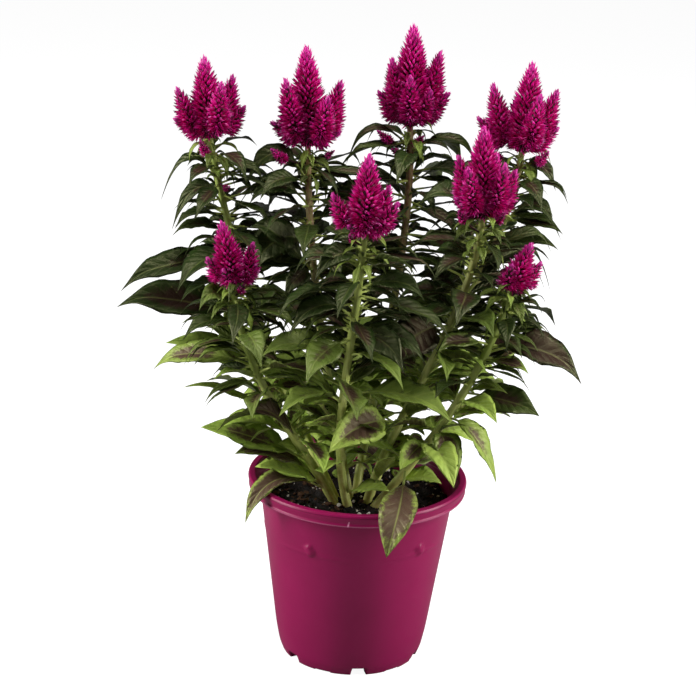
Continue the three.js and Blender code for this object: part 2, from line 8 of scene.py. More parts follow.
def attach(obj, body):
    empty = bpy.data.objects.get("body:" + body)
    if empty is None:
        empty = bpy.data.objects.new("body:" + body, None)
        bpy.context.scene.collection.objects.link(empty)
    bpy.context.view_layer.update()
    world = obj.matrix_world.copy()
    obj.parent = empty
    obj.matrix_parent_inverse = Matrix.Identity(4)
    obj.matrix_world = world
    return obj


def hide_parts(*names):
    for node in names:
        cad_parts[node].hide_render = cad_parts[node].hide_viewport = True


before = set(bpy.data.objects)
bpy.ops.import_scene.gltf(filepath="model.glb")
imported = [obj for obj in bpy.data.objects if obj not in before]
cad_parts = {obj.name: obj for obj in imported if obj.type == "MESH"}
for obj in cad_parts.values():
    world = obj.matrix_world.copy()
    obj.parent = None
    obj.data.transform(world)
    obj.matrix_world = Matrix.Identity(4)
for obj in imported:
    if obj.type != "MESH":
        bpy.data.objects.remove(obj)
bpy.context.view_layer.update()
print("frame loaded:", len(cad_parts), "nodes")

toMetres = 0.001
up = np.array([0.0, 0.0, 1.0])
goldenAngle = math.pi * (3 - math.sqrt(5))


# small helpers for arrays

def unit(vectors):
    return vectors / np.maximum(np.linalg.norm(vectors, axis=-1, keepdims=True), 1e-9)


def mix(low, high, share):
    return low + (high - low) * share


def ease(low, high, value):
    # 0 below low, 1 above high, smooth between
    share = np.clip((value - low) / (high - low), 0, 1)
    return share * share * (3 - 2 * share)


def across(share, vectors):
    # gives numbers one more axis, so that they scale vectors
    return np.asarray(share)[..., None] * vectors


def turns(count):
    # angles of that many points round a circle
    return np.arange(count) / count * 2 * math.pi


def levelCircle(angle, radius, z=0.0):
    return np.stack([radius * np.cos(angle), radius * np.sin(angle), np.full_like(angle, z)], -1)


def crossDirections(ahead):
    # two directions square to ahead and to each other
    side = unit(np.cross(np.broadcast_to([0.0, 1.0, 0.0], ahead.shape), ahead))
    return side, np.cross(ahead, side)


def roundAbout(angle, side, other):
    return across(np.cos(angle), side) + across(np.sin(angle), other)


def arc(root, control, tip, t):
    # a quadratic curve from root over control to tip
    return root * (1 - t) ** 2 + control * 2 * t * (1 - t) + tip * t ** 2


def stackValues(shape, *numbers):
    # three numbers or arrays for every point of a grid, as an attribute takes them
    return np.stack([np.broadcast_to(value, shape) for value in numbers], -1)


# meshes: every new piece is one or more closed tubes, stored ring by ring with a point at each end

def tubeFaces(count, rings, sides):
    # faces of closed tubes whose rings run anticlockwise seen from the last one
    i, j = np.meshgrid(np.arange(rings - 1), np.arange(sides), indexing="ij")
    here, beside = i * sides + j, i * sides + (j + 1) % sides
    quads = np.stack([here, beside, beside + sides, here + sides], -1).reshape(-1, 4)
    around = np.arange(sides)
    nextOne = (around + 1) % sides
    last = (rings - 1) * sides
    start = np.full(sides, rings * sides)
    caps = np.concatenate([
        np.stack([start, nextOne, around], -1),
        np.stack([start + 1, last + around, last + nextOne], -1),
    ])
    shift = (np.arange(count) * (rings * sides + 2))[:, None, None]
    return [(quads + shift).reshape(-1, 4), (caps + shift).reshape(-1, 3)]


def stackTubes(grid, start, end):
    # (tubes, rings, sides, k) and the two end rows (tubes, k), in the order that tubeFaces counts them
    count, rings, sides, width = grid.shape
    rows = [grid.reshape(count, rings * sides, width), start[:, None], end[:, None]]
    return np.concatenate(rows, 1).reshape(-1, width)


def tubes(grid, start, end, values=None):
    # a part as addPiece takes it, from points (tubes, rings, sides, 3) and the two end points of each tube
    return stackTubes(grid, start, end), tubeFaces(*grid.shape[:3]), values or {}


def makeMesh(name, points, faceSets, smooth=True):
    mesh = bpy.data.meshes.new(name)
    corners = np.concatenate([faces.ravel() for faces in faceSets]).astype(np.int32)
    sizes = np.concatenate([np.full(len(faces), faces.shape[1]) for faces in faceSets])
    starts = np.concatenate([[0], np.cumsum(sizes)[:-1]]).astype(np.int32)
    mesh.vertices.add(len(points))
    mesh.vertices.foreach_set("co", (points * toMetres).astype(np.float32).ravel())
    mesh.loops.add(len(corners))
    mesh.loops.foreach_set("vertex_index", corners)
    mesh.polygons.add(len(sizes))
    mesh.polygons.foreach_set("loop_start", starts)
    mesh.polygons.foreach_set("use_smooth", np.full(len(sizes), smooth))
    mesh.update(calc_edges=True)
    return mesh


def addPiece(name, parts, material, replaced=(), smooth=True):
    # parts is a list of (points, faceSets, {attribute: values}); they become one mesh
    points, faceSets, values, shift = [], [], {}, 0
    for partPoints, partFaces, partValues in parts:
        points.append(partPoints)
        faceSets += [faces + shift for faces in partFaces]
        shift += len(partPoints)
        for key, numbers in partValues.items():
            values.setdefault(key, []).append(numbers)
    mesh = makeMesh(name, np.concatenate(points), faceSets, smooth)
    for key, numbers in values.items():
        attribute = mesh.attributes.new(key, "FLOAT_VECTOR", "POINT")
        attribute.data.foreach_set("vector", np.concatenate(numbers).astype(np.float32).ravel())
    mesh.materials.append(material)
    piece = bpy.data.objects.new(name, mesh)
    bpy.context.scene.collection.objects.link(piece)
    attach(piece, "root")
    if replaced:
        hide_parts(*replaced)
    print("  ", name, len(mesh.vertices), "points")
    return piece


# material helpers

def rgb(code):
    # a colour written as a web code, made linear
    channels = [int(code[i:i + 2], 16) / 255 for i in (0, 2, 4)]
    return [c / 12.92 if c <= 0.04045 else ((c + 0.055) / 1.055) ** 2.4 for c in channels] + [1]


def connect(tree, value, socket):
    # value is another node's output, a web code or a plain number or colour
    if isinstance(value, bpy.types.NodeSocket):
        tree.links.new(value, socket)
    else:
        socket.default_value = rgb(value) if isinstance(value, str) else value


def addNode(tree, kind, settings=None, **inputs):
    # an input is called by its name in small letters, or i0, i1 and so on where names repeat
    node = tree.nodes.new(kind)
    for key, value in (settings or {}).items():
        setattr(node, key, value)
    for key, value in inputs.items():
        connect(tree, value, node.inputs[int(key[1:]) if key[1:].isdigit() else key.title()])
    return node


def calc(tree, operation, first, second=0.0, third=0.0):
    node = addNode(tree, "ShaderNodeMath", {"operation": operation}, i0=first, i1=second, i2=third)
    return node.outputs[0]


def times(tree, first, second):
    return calc(tree, "MULTIPLY", first, second)


def spread(tree, value, low, high, outLow=0.0, outHigh=1.0):
    # smooth change from outLow to outHigh as value goes from low to high
    node = addNode(tree, "ShaderNodeMapRange", {"interpolation_type": "SMOOTHSTEP"})
    tree.links.new(value, node.inputs["Value"])
    for key, number in (("From Min", low), ("From Max", high), ("To Min", outLow), ("To Max", outHigh)):
        node.inputs[key].default_value = number
    return node.outputs[0]


def blend(tree, share, first, second):
    # the first colour where share is 0 and the second where it is 1
    node = addNode(tree, "ShaderNodeMix", {"data_type": "RGBA"}, i0=share, i6=first, i7=second)
    return node.outputs[2]


def readVector(tree, name):
    attribute = addNode(tree, "ShaderNodeAttribute", {"attribute_name": name})
    return addNode(tree, "ShaderNodeSeparateXYZ", i0=attribute.outputs["Vector"]).outputs


def startMaterial(name, specular):
    material = bpy.data.materials.new(name)
    material.use_nodes = True
    shader = material.node_tree.nodes["Principled BSDF"]
    shader.inputs["Specular IOR Level"].default_value = specular
    return material, material.node_tree, shader


def dress(tree, shader, tone, roughness, height, strength, distance):
    # colour, roughness and a bump whose depth is in millimetres
    bump = addNode(tree, "ShaderNodeBump", height=height, strength=strength, distance=distance * toMetres)
    for value, name in ((tone, "Base Color"), (roughness, "Roughness"), (bump.outputs[0], "Normal")):
        connect(tree, value, shader.inputs[name])


def newGroup(name, inputs, outputs):
    # inputs are {name: default} and outputs are names, all of them numbers
    tree = bpy.data.node_groups.new(name, "ShaderNodeTree")
    for label, value in inputs.items():
        socket = tree.interface.new_socket(label, in_out="INPUT", socket_type="NodeSocketFloat")
        socket.default_value = value
    for label in outputs:
        tree.interface.new_socket(label, in_out="OUTPUT", socket_type="NodeSocketFloat")
    return tree, tree.nodes.new("NodeGroupInput").outputs, tree.nodes.new("NodeGroupOutput").inputs


def useGroup(tree, group, **inputs):
    node = tree.nodes.new("ShaderNodeGroup")
    node.node_tree = group
    for key, value in inputs.items():
        connect(tree, value, node.inputs[key.title()])
    return node.outputs


def makeMottleGroup():
    # cloudy patches from two sizes of noise on Object coordinates; Mask is 0 to 1
    tree, given, out = newGroup("mottle", {"Scale": 100.0, "Fine": 4.0, "Low": 0.35, "High": 0.65}, ["Mask"])
    place = tree.nodes.new("ShaderNodeTexCoord").outputs["Object"]
    coarse = addNode(tree, "ShaderNodeTexNoise", vector=place, scale=given["Scale"], detail=3.0)
    fineScale = times(tree, given["Scale"], given["Fine"])
    fine = addNode(tree, "ShaderNodeTexNoise", vector=place, scale=fineScale, detail=2.0)
    both = calc(tree, "MULTIPLY_ADD", fine.outputs[0], 0.4, times(tree, coarse.outputs[0], 0.6))
    ranged = addNode(tree, "ShaderNodeMapRange", i0=both, i1=given["Low"], i2=given["High"])
    tree.links.new(ranged.outputs[0], out["Mask"])
    return tree


def makeVeinGroup():
    # side veins that leave the midrib at a slant: a saw wave of Along * Count - |Across| ^ 0.8 * Slant, and
    # the blade's bulge between them
    inputs = {"Across": 0.0, "Along": 0.0, "Count": 9.0, "Slant": 1.6, "Width": 0.1}
    tree, given, out = newGroup("veins", inputs, ["Side", "Midrib", "Quilt"])
    margin = calc(tree, "ABSOLUTE", given["Across"])
    slanted = times(tree, calc(tree, "POWER", margin, 0.8), given["Slant"])
    wave = calc(tree, "SUBTRACT", times(tree, given["Along"], given["Count"]), slanted)
    away = calc(tree, "PINGPONG", wave, 0.5)
    line = calc(tree, "SUBTRACT", 1.0, calc(tree, "DIVIDE", away, given["Width"]))
    side = calc(tree, "MAXIMUM", line, 0.0)
    rim = spread(tree, margin, 0.8, 1.0, 1.0, 0.0)
    tree.links.new(times(tree, side, rim), out["Side"])
    tree.links.new(spread(tree, margin, 0.0, 0.08, 1.0, 0.0), out["Midrib"])
    bulge = calc(tree, "POWER", times(tree, away, 2.0), 0.6)
    swell = times(tree, spread(tree, margin, 0.0, 0.3), spread(tree, margin, 0.7, 1.0, 1.0, 0.0))
    tree.links.new(times(tree, bulge, swell), out["Quilt"])
    return tree


mottle = makeMottleGroup()
veins = makeVeinGroup()


def mottled(tree, scale, fine, low, high):
    return useGroup(tree, mottle, scale=scale, fine=fine, low=low, high=high)["Mask"]


# floor, light and camera

stage = {
    "distance": 1500, "height": 759,  # the camera in front of the pot's axis
    "pitch": 0.3276, "yaw": -0.0078, "roll": 0.0436,
    "focalPixels": 2081.5, "frameWidth": 696,
    "sensor": 36,
    "floorSize": 12, "floorColour": "8c8c8c", "floorSpecular": 0.2, "floorRoughness": 0.9,
    "glowColour": "ffffff", "floorGlow": 0.93, "worldStrength": 0.05,
    # name: (place in metres, width, height, watts); each faces the middle of the plant
    "lights": {
        "leftSoftbox": ((-1.5, -0.25, 0.8), 0.8, 1.3, 38),
        "rightSoftbox": ((1.5, -0.2, 0.8), 0.8, 1.3, 38),
        "topSoftbox": ((0.1, -0.1, 1.9), 1.1, 0.8, 22),
    },
    "aim": (0, 0, 0.24),
}


def aimMatrix(place, target):
    back = unit(np.array(place, float) - np.array(target, float))
    right = unit(np.cross(up, back) + [1e-6, 0, 0])
    matrix = Matrix(np.column_stack([right, np.cross(back, right), back]).tolist()).to_4x4()
    matrix.translation = place
    return matrix


def setStage():
    scene = bpy.context.scene
    scene.view_settings.view_transform = "Standard"
    pitch, yaw, roll = stage["pitch"], stage["yaw"], stage["roll"]
    ahead = np.array([math.sin(yaw) * math.cos(pitch), math.cos(yaw) * math.cos(pitch), -math.sin(pitch)])
    level = np.array([math.cos(yaw), -math.sin(yaw), 0])
    above = np.cross(level, ahead)
    right = level * math.cos(roll) + above * math.sin(roll)
    top = above * math.cos(roll) - level * math.sin(roll)
    data = bpy.data.cameras.new("camera")
    data.sensor_width = stage["sensor"]
    data.lens = stage["focalPixels"] / stage["frameWidth"] * stage["sensor"]
    camera = bpy.data.objects.new("camera", data)
    camera.matrix_world = Matrix(np.column_stack([right, top, -ahead]).tolist()).to_4x4()
    camera.location = (0, -stage["distance"] * toMetres, stage["height"] * toMetres)
    scene.collection.objects.link(camera)
    scene.camera = camera

    half = stage["floorSize"] / 2 / toMetres
    corners = np.array([[-half, -half, 0], [half, -half, 0], [half, half, 0], [-half, half, 0]])
    mesh = makeMesh("floor", corners, [np.array([[0, 1, 2, 3]])], smooth=False)
    material, tree, shader = startMaterial("paleFloor", stage["floorSpecular"])
    # the floor glows for the camera alone, so it looks like a lit white sweep and doesn't light the plant
    seen = addNode(tree, "ShaderNodeLightPath").outputs["Is Camera Ray"]
    looks = {
        "Base Color": stage["floorColour"], "Roughness": stage["floorRoughness"],
        "Emission Color": stage["glowColour"], "Emission Strength": times(tree, seen, stage["floorGlow"]),
    }
    for name, value in looks.items():
        connect(tree, value, shader.inputs[name])
    mesh.materials.append(material)
    floor = bpy.data.objects.new("floor", mesh)
    scene.collection.objects.link(floor)

    world = bpy.data.worlds.new("studio")
    world.use_nodes = True
    tree = world.node_tree
    # like the floor, the backdrop is pale for the camera alone
    seen = addNode(tree, "ShaderNodeLightPath").outputs["Is Camera Ray"]
    lit = calc(tree, "MULTIPLY_ADD", seen, stage["floorGlow"], stage["worldStrength"])
    background = tree.nodes["Background"].inputs
    connect(tree, stage["glowColour"], background["Color"])
    connect(tree, lit, background["Strength"])
    scene.world = world
    for name, (place, width, height, watts) in stage["lights"].items():
        light = bpy.data.lights.new(name, "AREA")
        light.shape, light.size, light.size_y, light.energy = "RECTANGLE", width, height, watts
        lamp = bpy.data.objects.new(name, light)
        lamp.matrix_world = aimMatrix(place, stage["aim"])
        scene.collection.objects.link(lamp)


setStage()
print("stage set")


# pot

pot = {
    "height": 147, "rimRadius": 85, "rimBand": 10, "rimLip": 1.4, "rimGroove": 2.8, "edge": 1.5,
    "mouthRadius": 79.5, "shoulderRadius": 75.4, "bodyFootRadius": 59.4, "footRound": 21, "footSwell": 2.8,
    "footRadius": 53.8, "wall": 1.8, "floorTop": 9, "floorUnderside": 6.8, "padRadius": 27, "padSlope": 2,
    "ringInnerRadius": 47,
    "drainCount": 6, "drainWidth": 12, "drainHeight": 7, "drainTurn": 8, "holeRadius": 3.5, "holeAt": 40,
    "holeSides": 24,
    "notchWidth": 14, "notchHeight": 1.2, "notchLean": 1.2,
    "sides": 220, "step": 6, "fineStep": 1.2,
    # five moulded tabs round the shoulder, and the faint ledges between them
    "tabCount": 5, "tabTurn": -28, "tabHeight": 108, "tabSize": (6, 6.5), "tabRise": 1.8,
    "ledgeDrop": 16, "ledgeRise": 0.4, "ledgeWidth": 1.4, "ledgeBelow": 3, "tabLean": 0.35, "reliefFoot": 94,
    "specular": 0.25,
    # the pale colour serves both the scratch and the painted highlight on the lip; the dark colour is painted
    # shade
    "colour": "93114f", "deepColour": "840c45", "highlightAndScratchColour": "e79cbd", "rimShadeColour": "3d0620",
    # painted light: a pale line at the band's lower edge, a painted highlight where the lip catches light,
    # and a dark one under its top, painted shade of the top edge (height, half width, strength); and wear: a
    # scratch (x, z, half sizes)
    "paintedLipHighlight": (138, 0.7, 0.3), "paintedRimShade": (144.9, 0.55, 0.6), "scratch": (-5, 139.8, 0.7, 2.6),
}
bandFoot = pot["height"] - pot["rimBand"]
bodySlope = (pot["shoulderRadius"] - pot["bodyFootRadius"]) / (bandFoot - pot["footRound"])


def innerRadiusAt(z):
    return pot["bodyFootRadius"] + (z - pot["footRound"]) * bodySlope - pot["wall"]


def roundedProfile(corners):
    # Points along a line of corners (r, z, cut): a corner with a cut is rounded by a quadratic curve that
    # leaves the line that far before it, and long straights get a point about every step. Steps are fine in
    # the stretches that carry relief, outside under the rim and at the foot.
    path = []
    for i, (r, z, cut) in enumerate(corners):
        here = np.array([r, z], float)
        if cut and 0 < i < len(corners) - 1:
            before = np.array(corners[i - 1][:2], float)
            after = np.array(corners[i + 1][:2], float)
            entry = here + unit(before - here) * cut
            leave = here + unit(after - here) * cut
            for share in (0, 0.25, 0.5, 0.75, 1):
                path.append(mix(mix(entry, here, share), mix(here, leave, share), share))
        else:
            path.append(here)
    fine = [path[0]]
    for start, end in zip(path, path[1:]):
        low, high = sorted((start[1], end[1]))
        shaped = low >= pot["reliefFoot"] or high <= pot["drainHeight"] + 1
        relief = shaped and start[0] > pot["ringInnerRadius"] - 1
        pieces = max(1, round(np.linalg.norm(end - start) / pot["fineStep" if relief else "step"]))
        fine += [mix(start, end, k / pieces) for k in range(1, pieces + 1)]
    return np.array(fine)


def notchDepth(angle):
    # height of the foot ring's underside: notches in turn deep and shallow, with leaning sides
    step = math.pi / pot["drainCount"]
    turned = (angle + math.pi / 2 - math.radians(pot["drainTurn"])) / step
    nearest = np.round(turned)
    away = np.abs(turned - nearest) * step * pot["footRadius"]
    deep = nearest.astype(int) % 2 == 0
    width = np.where(deep, pot["drainWidth"], pot["notchWidth"]) / 2
    height = np.where(deep, pot["drainHeight"], pot["notchHeight"])
    return height * (1 - ease(width - pot["notchLean"], width, away))


def potRelief(angle, z):
    # how far the wall stands out: a tab is a leaning diamond, and a ledge sags from one tab to the next and
    # fades towards its middle
    step = 2 * math.pi / pot["tabCount"]
    turned = (angle + math.pi / 2 - math.radians(pot["tabTurn"])) / step
    off = turned - np.round(turned)
    sideways = off * step * pot["shoulderRadius"]
    above = z - pot["tabHeight"] + sideways * pot["tabLean"]
    wide, tall = pot["tabSize"]
    tab = ease(1, 0.55, np.abs(sideways) / wide + np.abs(above) / tall)
    under = z - pot["tabHeight"] + pot["ledgeBelow"] + pot["ledgeDrop"] * off ** 2
    ledge = np.exp(-(under / pot["ledgeWidth"]) ** 2) * ease(0.5, 0.12, np.abs(off))
    return pot["tabRise"] * tab + pot["ledgeRise"] * ledge


def buildPot():
    corners = [
        (1, 0, 0), (pot["padRadius"], 0, 0.5),
        (pot["padRadius"] + pot["padSlope"], pot["floorUnderside"], 0.5),
        (pot["ringInnerRadius"], pot["floorUnderside"], 0.8), (pot["ringInnerRadius"], 0, 0.5),
        (pot["footRadius"], 0, 1.0), (pot["footRadius"] + pot["footSwell"], pot["footRound"] / 3, 3),
        (pot["bodyFootRadius"], pot["footRound"], 6),
        (innerRadiusAt(pot["reliefFoot"]) + pot["wall"], pot["reliefFoot"], 0),
        (pot["shoulderRadius"], bandFoot, 0.9),
        (pot["rimRadius"] - pot["rimLip"] * 0.8, bandFoot, 0.5),
        (pot["rimRadius"] - pot["rimLip"] / 2, bandFoot + pot["edge"], 0.6),
        (pot["rimRadius"] - pot["rimLip"], bandFoot + pot["rimGroove"], 0.8),
        (pot["rimRadius"], pot["height"] - pot["edge"] * 1.6, 1.2),
        (pot["rimRadius"] - 1, pot["height"], 0.8), (pot["mouthRadius"], pot["height"], 0.7),
        (innerRadiusAt(bandFoot - pot["rimLip"]), bandFoot - pot["rimLip"], 3),
        (innerRadiusAt(pot["footRound"]), pot["footRound"], 3),
        (pot["footRadius"] - pot["edge"], pot["floorTop"], 1), (1, pot["floorTop"], 0),
    ]
    profile = roundedProfile(corners)
    angle = turns(pot["sides"])
    radius = np.repeat(profile[:, :1], pot["sides"], 1)
    z = np.repeat(profile[:, 1:], pot["sides"], 1)
    onFoot = (radius > pot["ringInnerRadius"] - 1) & (z < pot["drainHeight"] + 1)
    z = np.where(onFoot, np.maximum(z, notchDepth(angle)[None]), z)
    outside = np.arange(len(profile))[:, None] < np.argmax(profile[:, 1] >= pot["height"] - 0.01)
    onWall = outside & (z > pot["reliefFoot"]) & (z < bandFoot - 3)
    radius = radius + np.where(onWall, potRelief(angle, z), 0)
    grid = np.stack([np.cos(angle) * radius, np.sin(angle) * radius, z], -1)[None]
    part = tubes(grid, 0 * up[None], pot["floorTop"] * up[None])
    cutDrainHoles(addPiece("potShell", [part], potMaterial(), ["pot"]))


def cutDrainHoles(shell):
    # six straight holes through the floor; the cutter is thrown away once its cut is part of the mesh
    turn = math.radians(pot["drainTurn"]) - math.pi / 2 + turns(pot["drainCount"])
    middle = levelCircle(turn, pot["holeAt"])
    around = levelCircle(turns(pot["holeSides"]), pot["holeRadius"])
    levels = np.array([pot["floorUnderside"] - 2, pot["floorTop"] + 2])[:, None] * up
    grid = middle[:, None, None] + levels[None, :, None] + around
    points = stackTubes(grid, middle + levels[0], middle + levels[1])
    mesh = makeMesh("drainCutter", points, tubeFaces(len(turn), 2, pot["holeSides"]))
    cutter = bpy.data.objects.new("drainCutter", mesh)
    bpy.context.scene.collection.objects.link(cutter)
    cut = shell.modifiers.new("drainHoles", "BOOLEAN")
    cut.operation, cut.object, cut.solver = "DIFFERENCE", cutter, "EXACT"
    solid = bpy.data.meshes.new_from_object(shell.evaluated_get(bpy.context.evaluated_depsgraph_get()))
    shell.modifiers.remove(cut)
    whole, shell.data = shell.data, solid
    for spare in (whole, mesh):
        bpy.data.meshes.remove(spare)
    print("   drain holes cut,", len(solid.vertices), "points")


def potMaterial():
    material, tree, shader = startMaterial("mouldedPlastic", pot["specular"])
    patches = mottled(tree, 9.0, 3.0, 0.3, 0.7)
    grain = mottled(tree, 900.0, 2.0, 0.3, 0.7)
    tone = blend(tree, patches, pot["colour"], pot["deepColour"])
    place = tree.nodes.new("ShaderNodeTexCoord").outputs["Object"]
    x, y, z = addNode(tree, "ShaderNodeSeparateXYZ", i0=place).outputs
    # a painted highlight on the band's lower lip and painted shade under the rim's top edge, flecked by the
    # grain
    for (height, half, share), code in ((pot["paintedLipHighlight"], "highlightAndScratchColour"), (pot["paintedRimShade"], "rimShadeColour")):
        away = calc(tree, "ABSOLUTE", calc(tree, "SUBTRACT", z, height * toMetres))
        line = spread(tree, away, half * 0.3 * toMetres, half * toMetres, share, 0.0)
        paintedLineShare = times(tree, line, calc(tree, "MULTIPLY_ADD", grain, 0.5, 0.6))
        tone = blend(tree, paintedLineShare, tone, pot[code])
    scratchX, scratchZ, halfWide, halfTall = (value * toMetres for value in pot["scratch"])
    sideways = calc(tree, "DIVIDE", calc(tree, "SUBTRACT", x, scratchX), halfWide)
    upwards = calc(tree, "DIVIDE", calc(tree, "SUBTRACT", z, scratchZ), halfTall)
    slant = calc(tree, "ABSOLUTE", calc(tree, "MULTIPLY_ADD", upwards, -0.8, sideways))
    far = calc(tree, "MAXIMUM", slant, calc(tree, "ABSOLUTE", upwards))
    scratch = times(tree, spread(tree, far, 0.6, 1.0, 0.75, 0.0), calc(tree, "LESS_THAN", y, 0.0))
    tone = blend(tree, scratch, tone, pot["highlightAndScratchColour"])
    dress(tree, shader, tone, spread(tree, patches, 0.0, 1.0, 0.32, 0.44), grain, 0.12, 0.15)
    return material


buildPot()
print("pot made")


# soil

soil = {
    "level": 127, "bump": 1.6, "crown": 2.5, "crownWidth": 30, "gap": 0.3,
    "rings": 64, "sides": 150, "seed": 4, "bitGap": 2.5,
    "lump": 1.1, "octaves": ((0.5, 0.55), (1.0, 0.45), (2.1, 0.3)),  # each octave's rate and share
    "specular": 0.3,
    "colour": "1d1712", "dampColour": "0d0a09", "barkColour": "46301f",
}

# loose bits on the soil: how many, their sizes, flatness, how far they stand out and their two colours
bits = {
    "peatCrumbs": (1400, (0.9, 2.8), 0.7, 0.15, "2a1f18", "120d0a"),
    "barkChips": (150, (2.2, 5.2), 0.45, 0.2, "5a3d27", "332015"),
    "perliteGrains": (240, (0.8, 2.6), 0.8, 0.25, "f0ebe0", "b5a58c"),
}


def waves(x, y, seed, octaves):
    # lumps as a sum of crossed sine waves, each octave turned and shifted by the seed
    height = 0
    for k, (rate, size) in enumerate(octaves):
        turn = seed * 1.7 + k * 2.1
        u = x * math.cos(turn) + y * math.sin(turn)
        v = y * math.cos(turn) - x * math.sin(turn)
        height = height + size * np.sin(u * rate + seed + 3 * np.sin(v * rate * 0.7)) * np.cos(v * rate + k)
    return height


def soilSurface(x, y):
    # a slow swell, a crown in the middle and small lumps
    slow = np.sin(x * 0.19 + 1) * np.cos(y * 0.16) + 0.6 * np.sin(x * 0.41 + y * 0.37)
    crown = soil["crown"] * np.exp(-(x * x + y * y) / soil["crownWidth"] ** 2)
    smooth = soil["level"] + soil["bump"] * slow + crown
    return smooth + soil["lump"] * waves(x, y, soil["seed"], soil["octaves"])


def buildSoil():
    angle = turns(soil["sides"])
    foot = pot["floorTop"] + soil["gap"]
    footEdge = pot["footRadius"] - pot["edge"] - 2 * soil["gap"]
    shoulder = innerRadiusAt(pot["footRound"]) - 2 * soil["gap"]
    walls = [levelCircle(angle, footEdge, foot), levelCircle(angle, shoulder, pot["footRound"])]
    edge = innerRadiusAt(soil["level"] - soil["bump"] * 2) - soil["gap"]
    radius = edge * (1 - np.arange(soil["rings"]) / soil["rings"])[:, None]
    x, y = radius * np.cos(angle), radius * np.sin(angle)
    top = np.stack([x, y, soilSurface(x, y)], -1)
    grid = np.concatenate([np.array(walls), top])[None]
    part = tubes(grid, foot * up[None], soilSurface(0.0, 0.0) * up[None])
    addPiece("pottingMix", [part], soilMaterial(), ["soil"])


def scatterBits(count, sizes, flatness, sink, seed):
    # Small lumps like crumpled pebbles of twelve points: two rings of five and two ends, each point pushed in
    # or out at random, sunk a little into the soil's surface.
    draws = np.random.default_rng(seed)
    reach = innerRadiusAt(soil["level"]) - soil["bitGap"]
    r = reach * np.sqrt(draws.random(count))
    turn = draws.random(count) * 2 * math.pi
    x, y = r * np.cos(turn), r * np.sin(turn)
    size = mix(*sizes, draws.random(count) ** 2)
    ring = (np.arange(5) * 2 + np.arange(2)[:, None]) * math.pi / 5
    level = np.array([-0.5, 0.5])[:, None]
    pebble = stackValues(ring.shape, np.cos(ring) * 0.86, np.sin(ring) * 0.86, level)
    ends = np.array([[0, 0, -1.0], [0, 0, 1.0]])
    stretch = mix(0.7, 1.3, draws.random((count, 3))) * [1, 1, flatness]
    grid, start, end = (np.repeat(rows, count, 0) for rows in (pebble[None], ends[:1], ends[1:]))
    points = stackTubes(grid, start, end).reshape(count, 12, 3)
    points = points * mix(0.75, 1.2, draws.random((count, 12, 1))) * stretch[:, None]
    tilt = draws.normal(0, 0.6, (count, 3))
    turned = points + np.cross(np.broadcast_to(tilt[:, None], points.shape), points)
    turned = turned * (size / 2)[:, None, None]
    turned += np.stack([x, y, soilSurface(x, y) + size * sink], -1)[:, None]
    return [(turned.reshape(-1, 3), tubeFaces(count, 2, 5), {})]


def soilMaterial():
    material, tree, shader = startMaterial("dampPeat", soil["specular"])
    patches = mottled(tree, 220.0, 4.0, 0.38, 0.62)
    bark = mottled(tree, 520.0, 3.0, 0.56, 0.66)
    tone = blend(tree, patches, soil["dampColour"], soil["colour"])
    tone = blend(tree, times(tree, bark, 0.5), tone, soil["barkColour"])
    dress(tree, shader, tone, spread(tree, patches, 0.0, 1.0, 0.6, 0.95), patches, 0.7, 0.8)
    return material


def bitMaterial(name, colour, dustColour):
    material, tree, shader = startMaterial(name, soil["specular"])
    dust = mottled(tree, 700.0, 3.0, 0.42, 0.66)
    dress(tree, shader, blend(tree, dust, colour, dustColour), 0.85, dust, 0.4, 0.3)
    return material


buildSoil()
for order, (name, (*habit, colour, dustColour)) in enumerate(bits.items()):
    bitParts = scatterBits(*habit, soil["seed"] + order)
    addPiece(name, bitParts, bitMaterial(name + "Look", colour, dustColour), smooth=False)
print("soil made")


# stems: the same eight curves as in the solids

stem = {
    "footZ": 117, "footRadius": 3.5, "topRadius": 2.3, "rings": 72, "sides": 20, "intoHead": 3,
    "ribs": 5, "ribDepth": 0.06, "ribTwist": 3, "jointSwell": 0.09, "jointReach": 2.6, "jointLimit": 1.3,
}

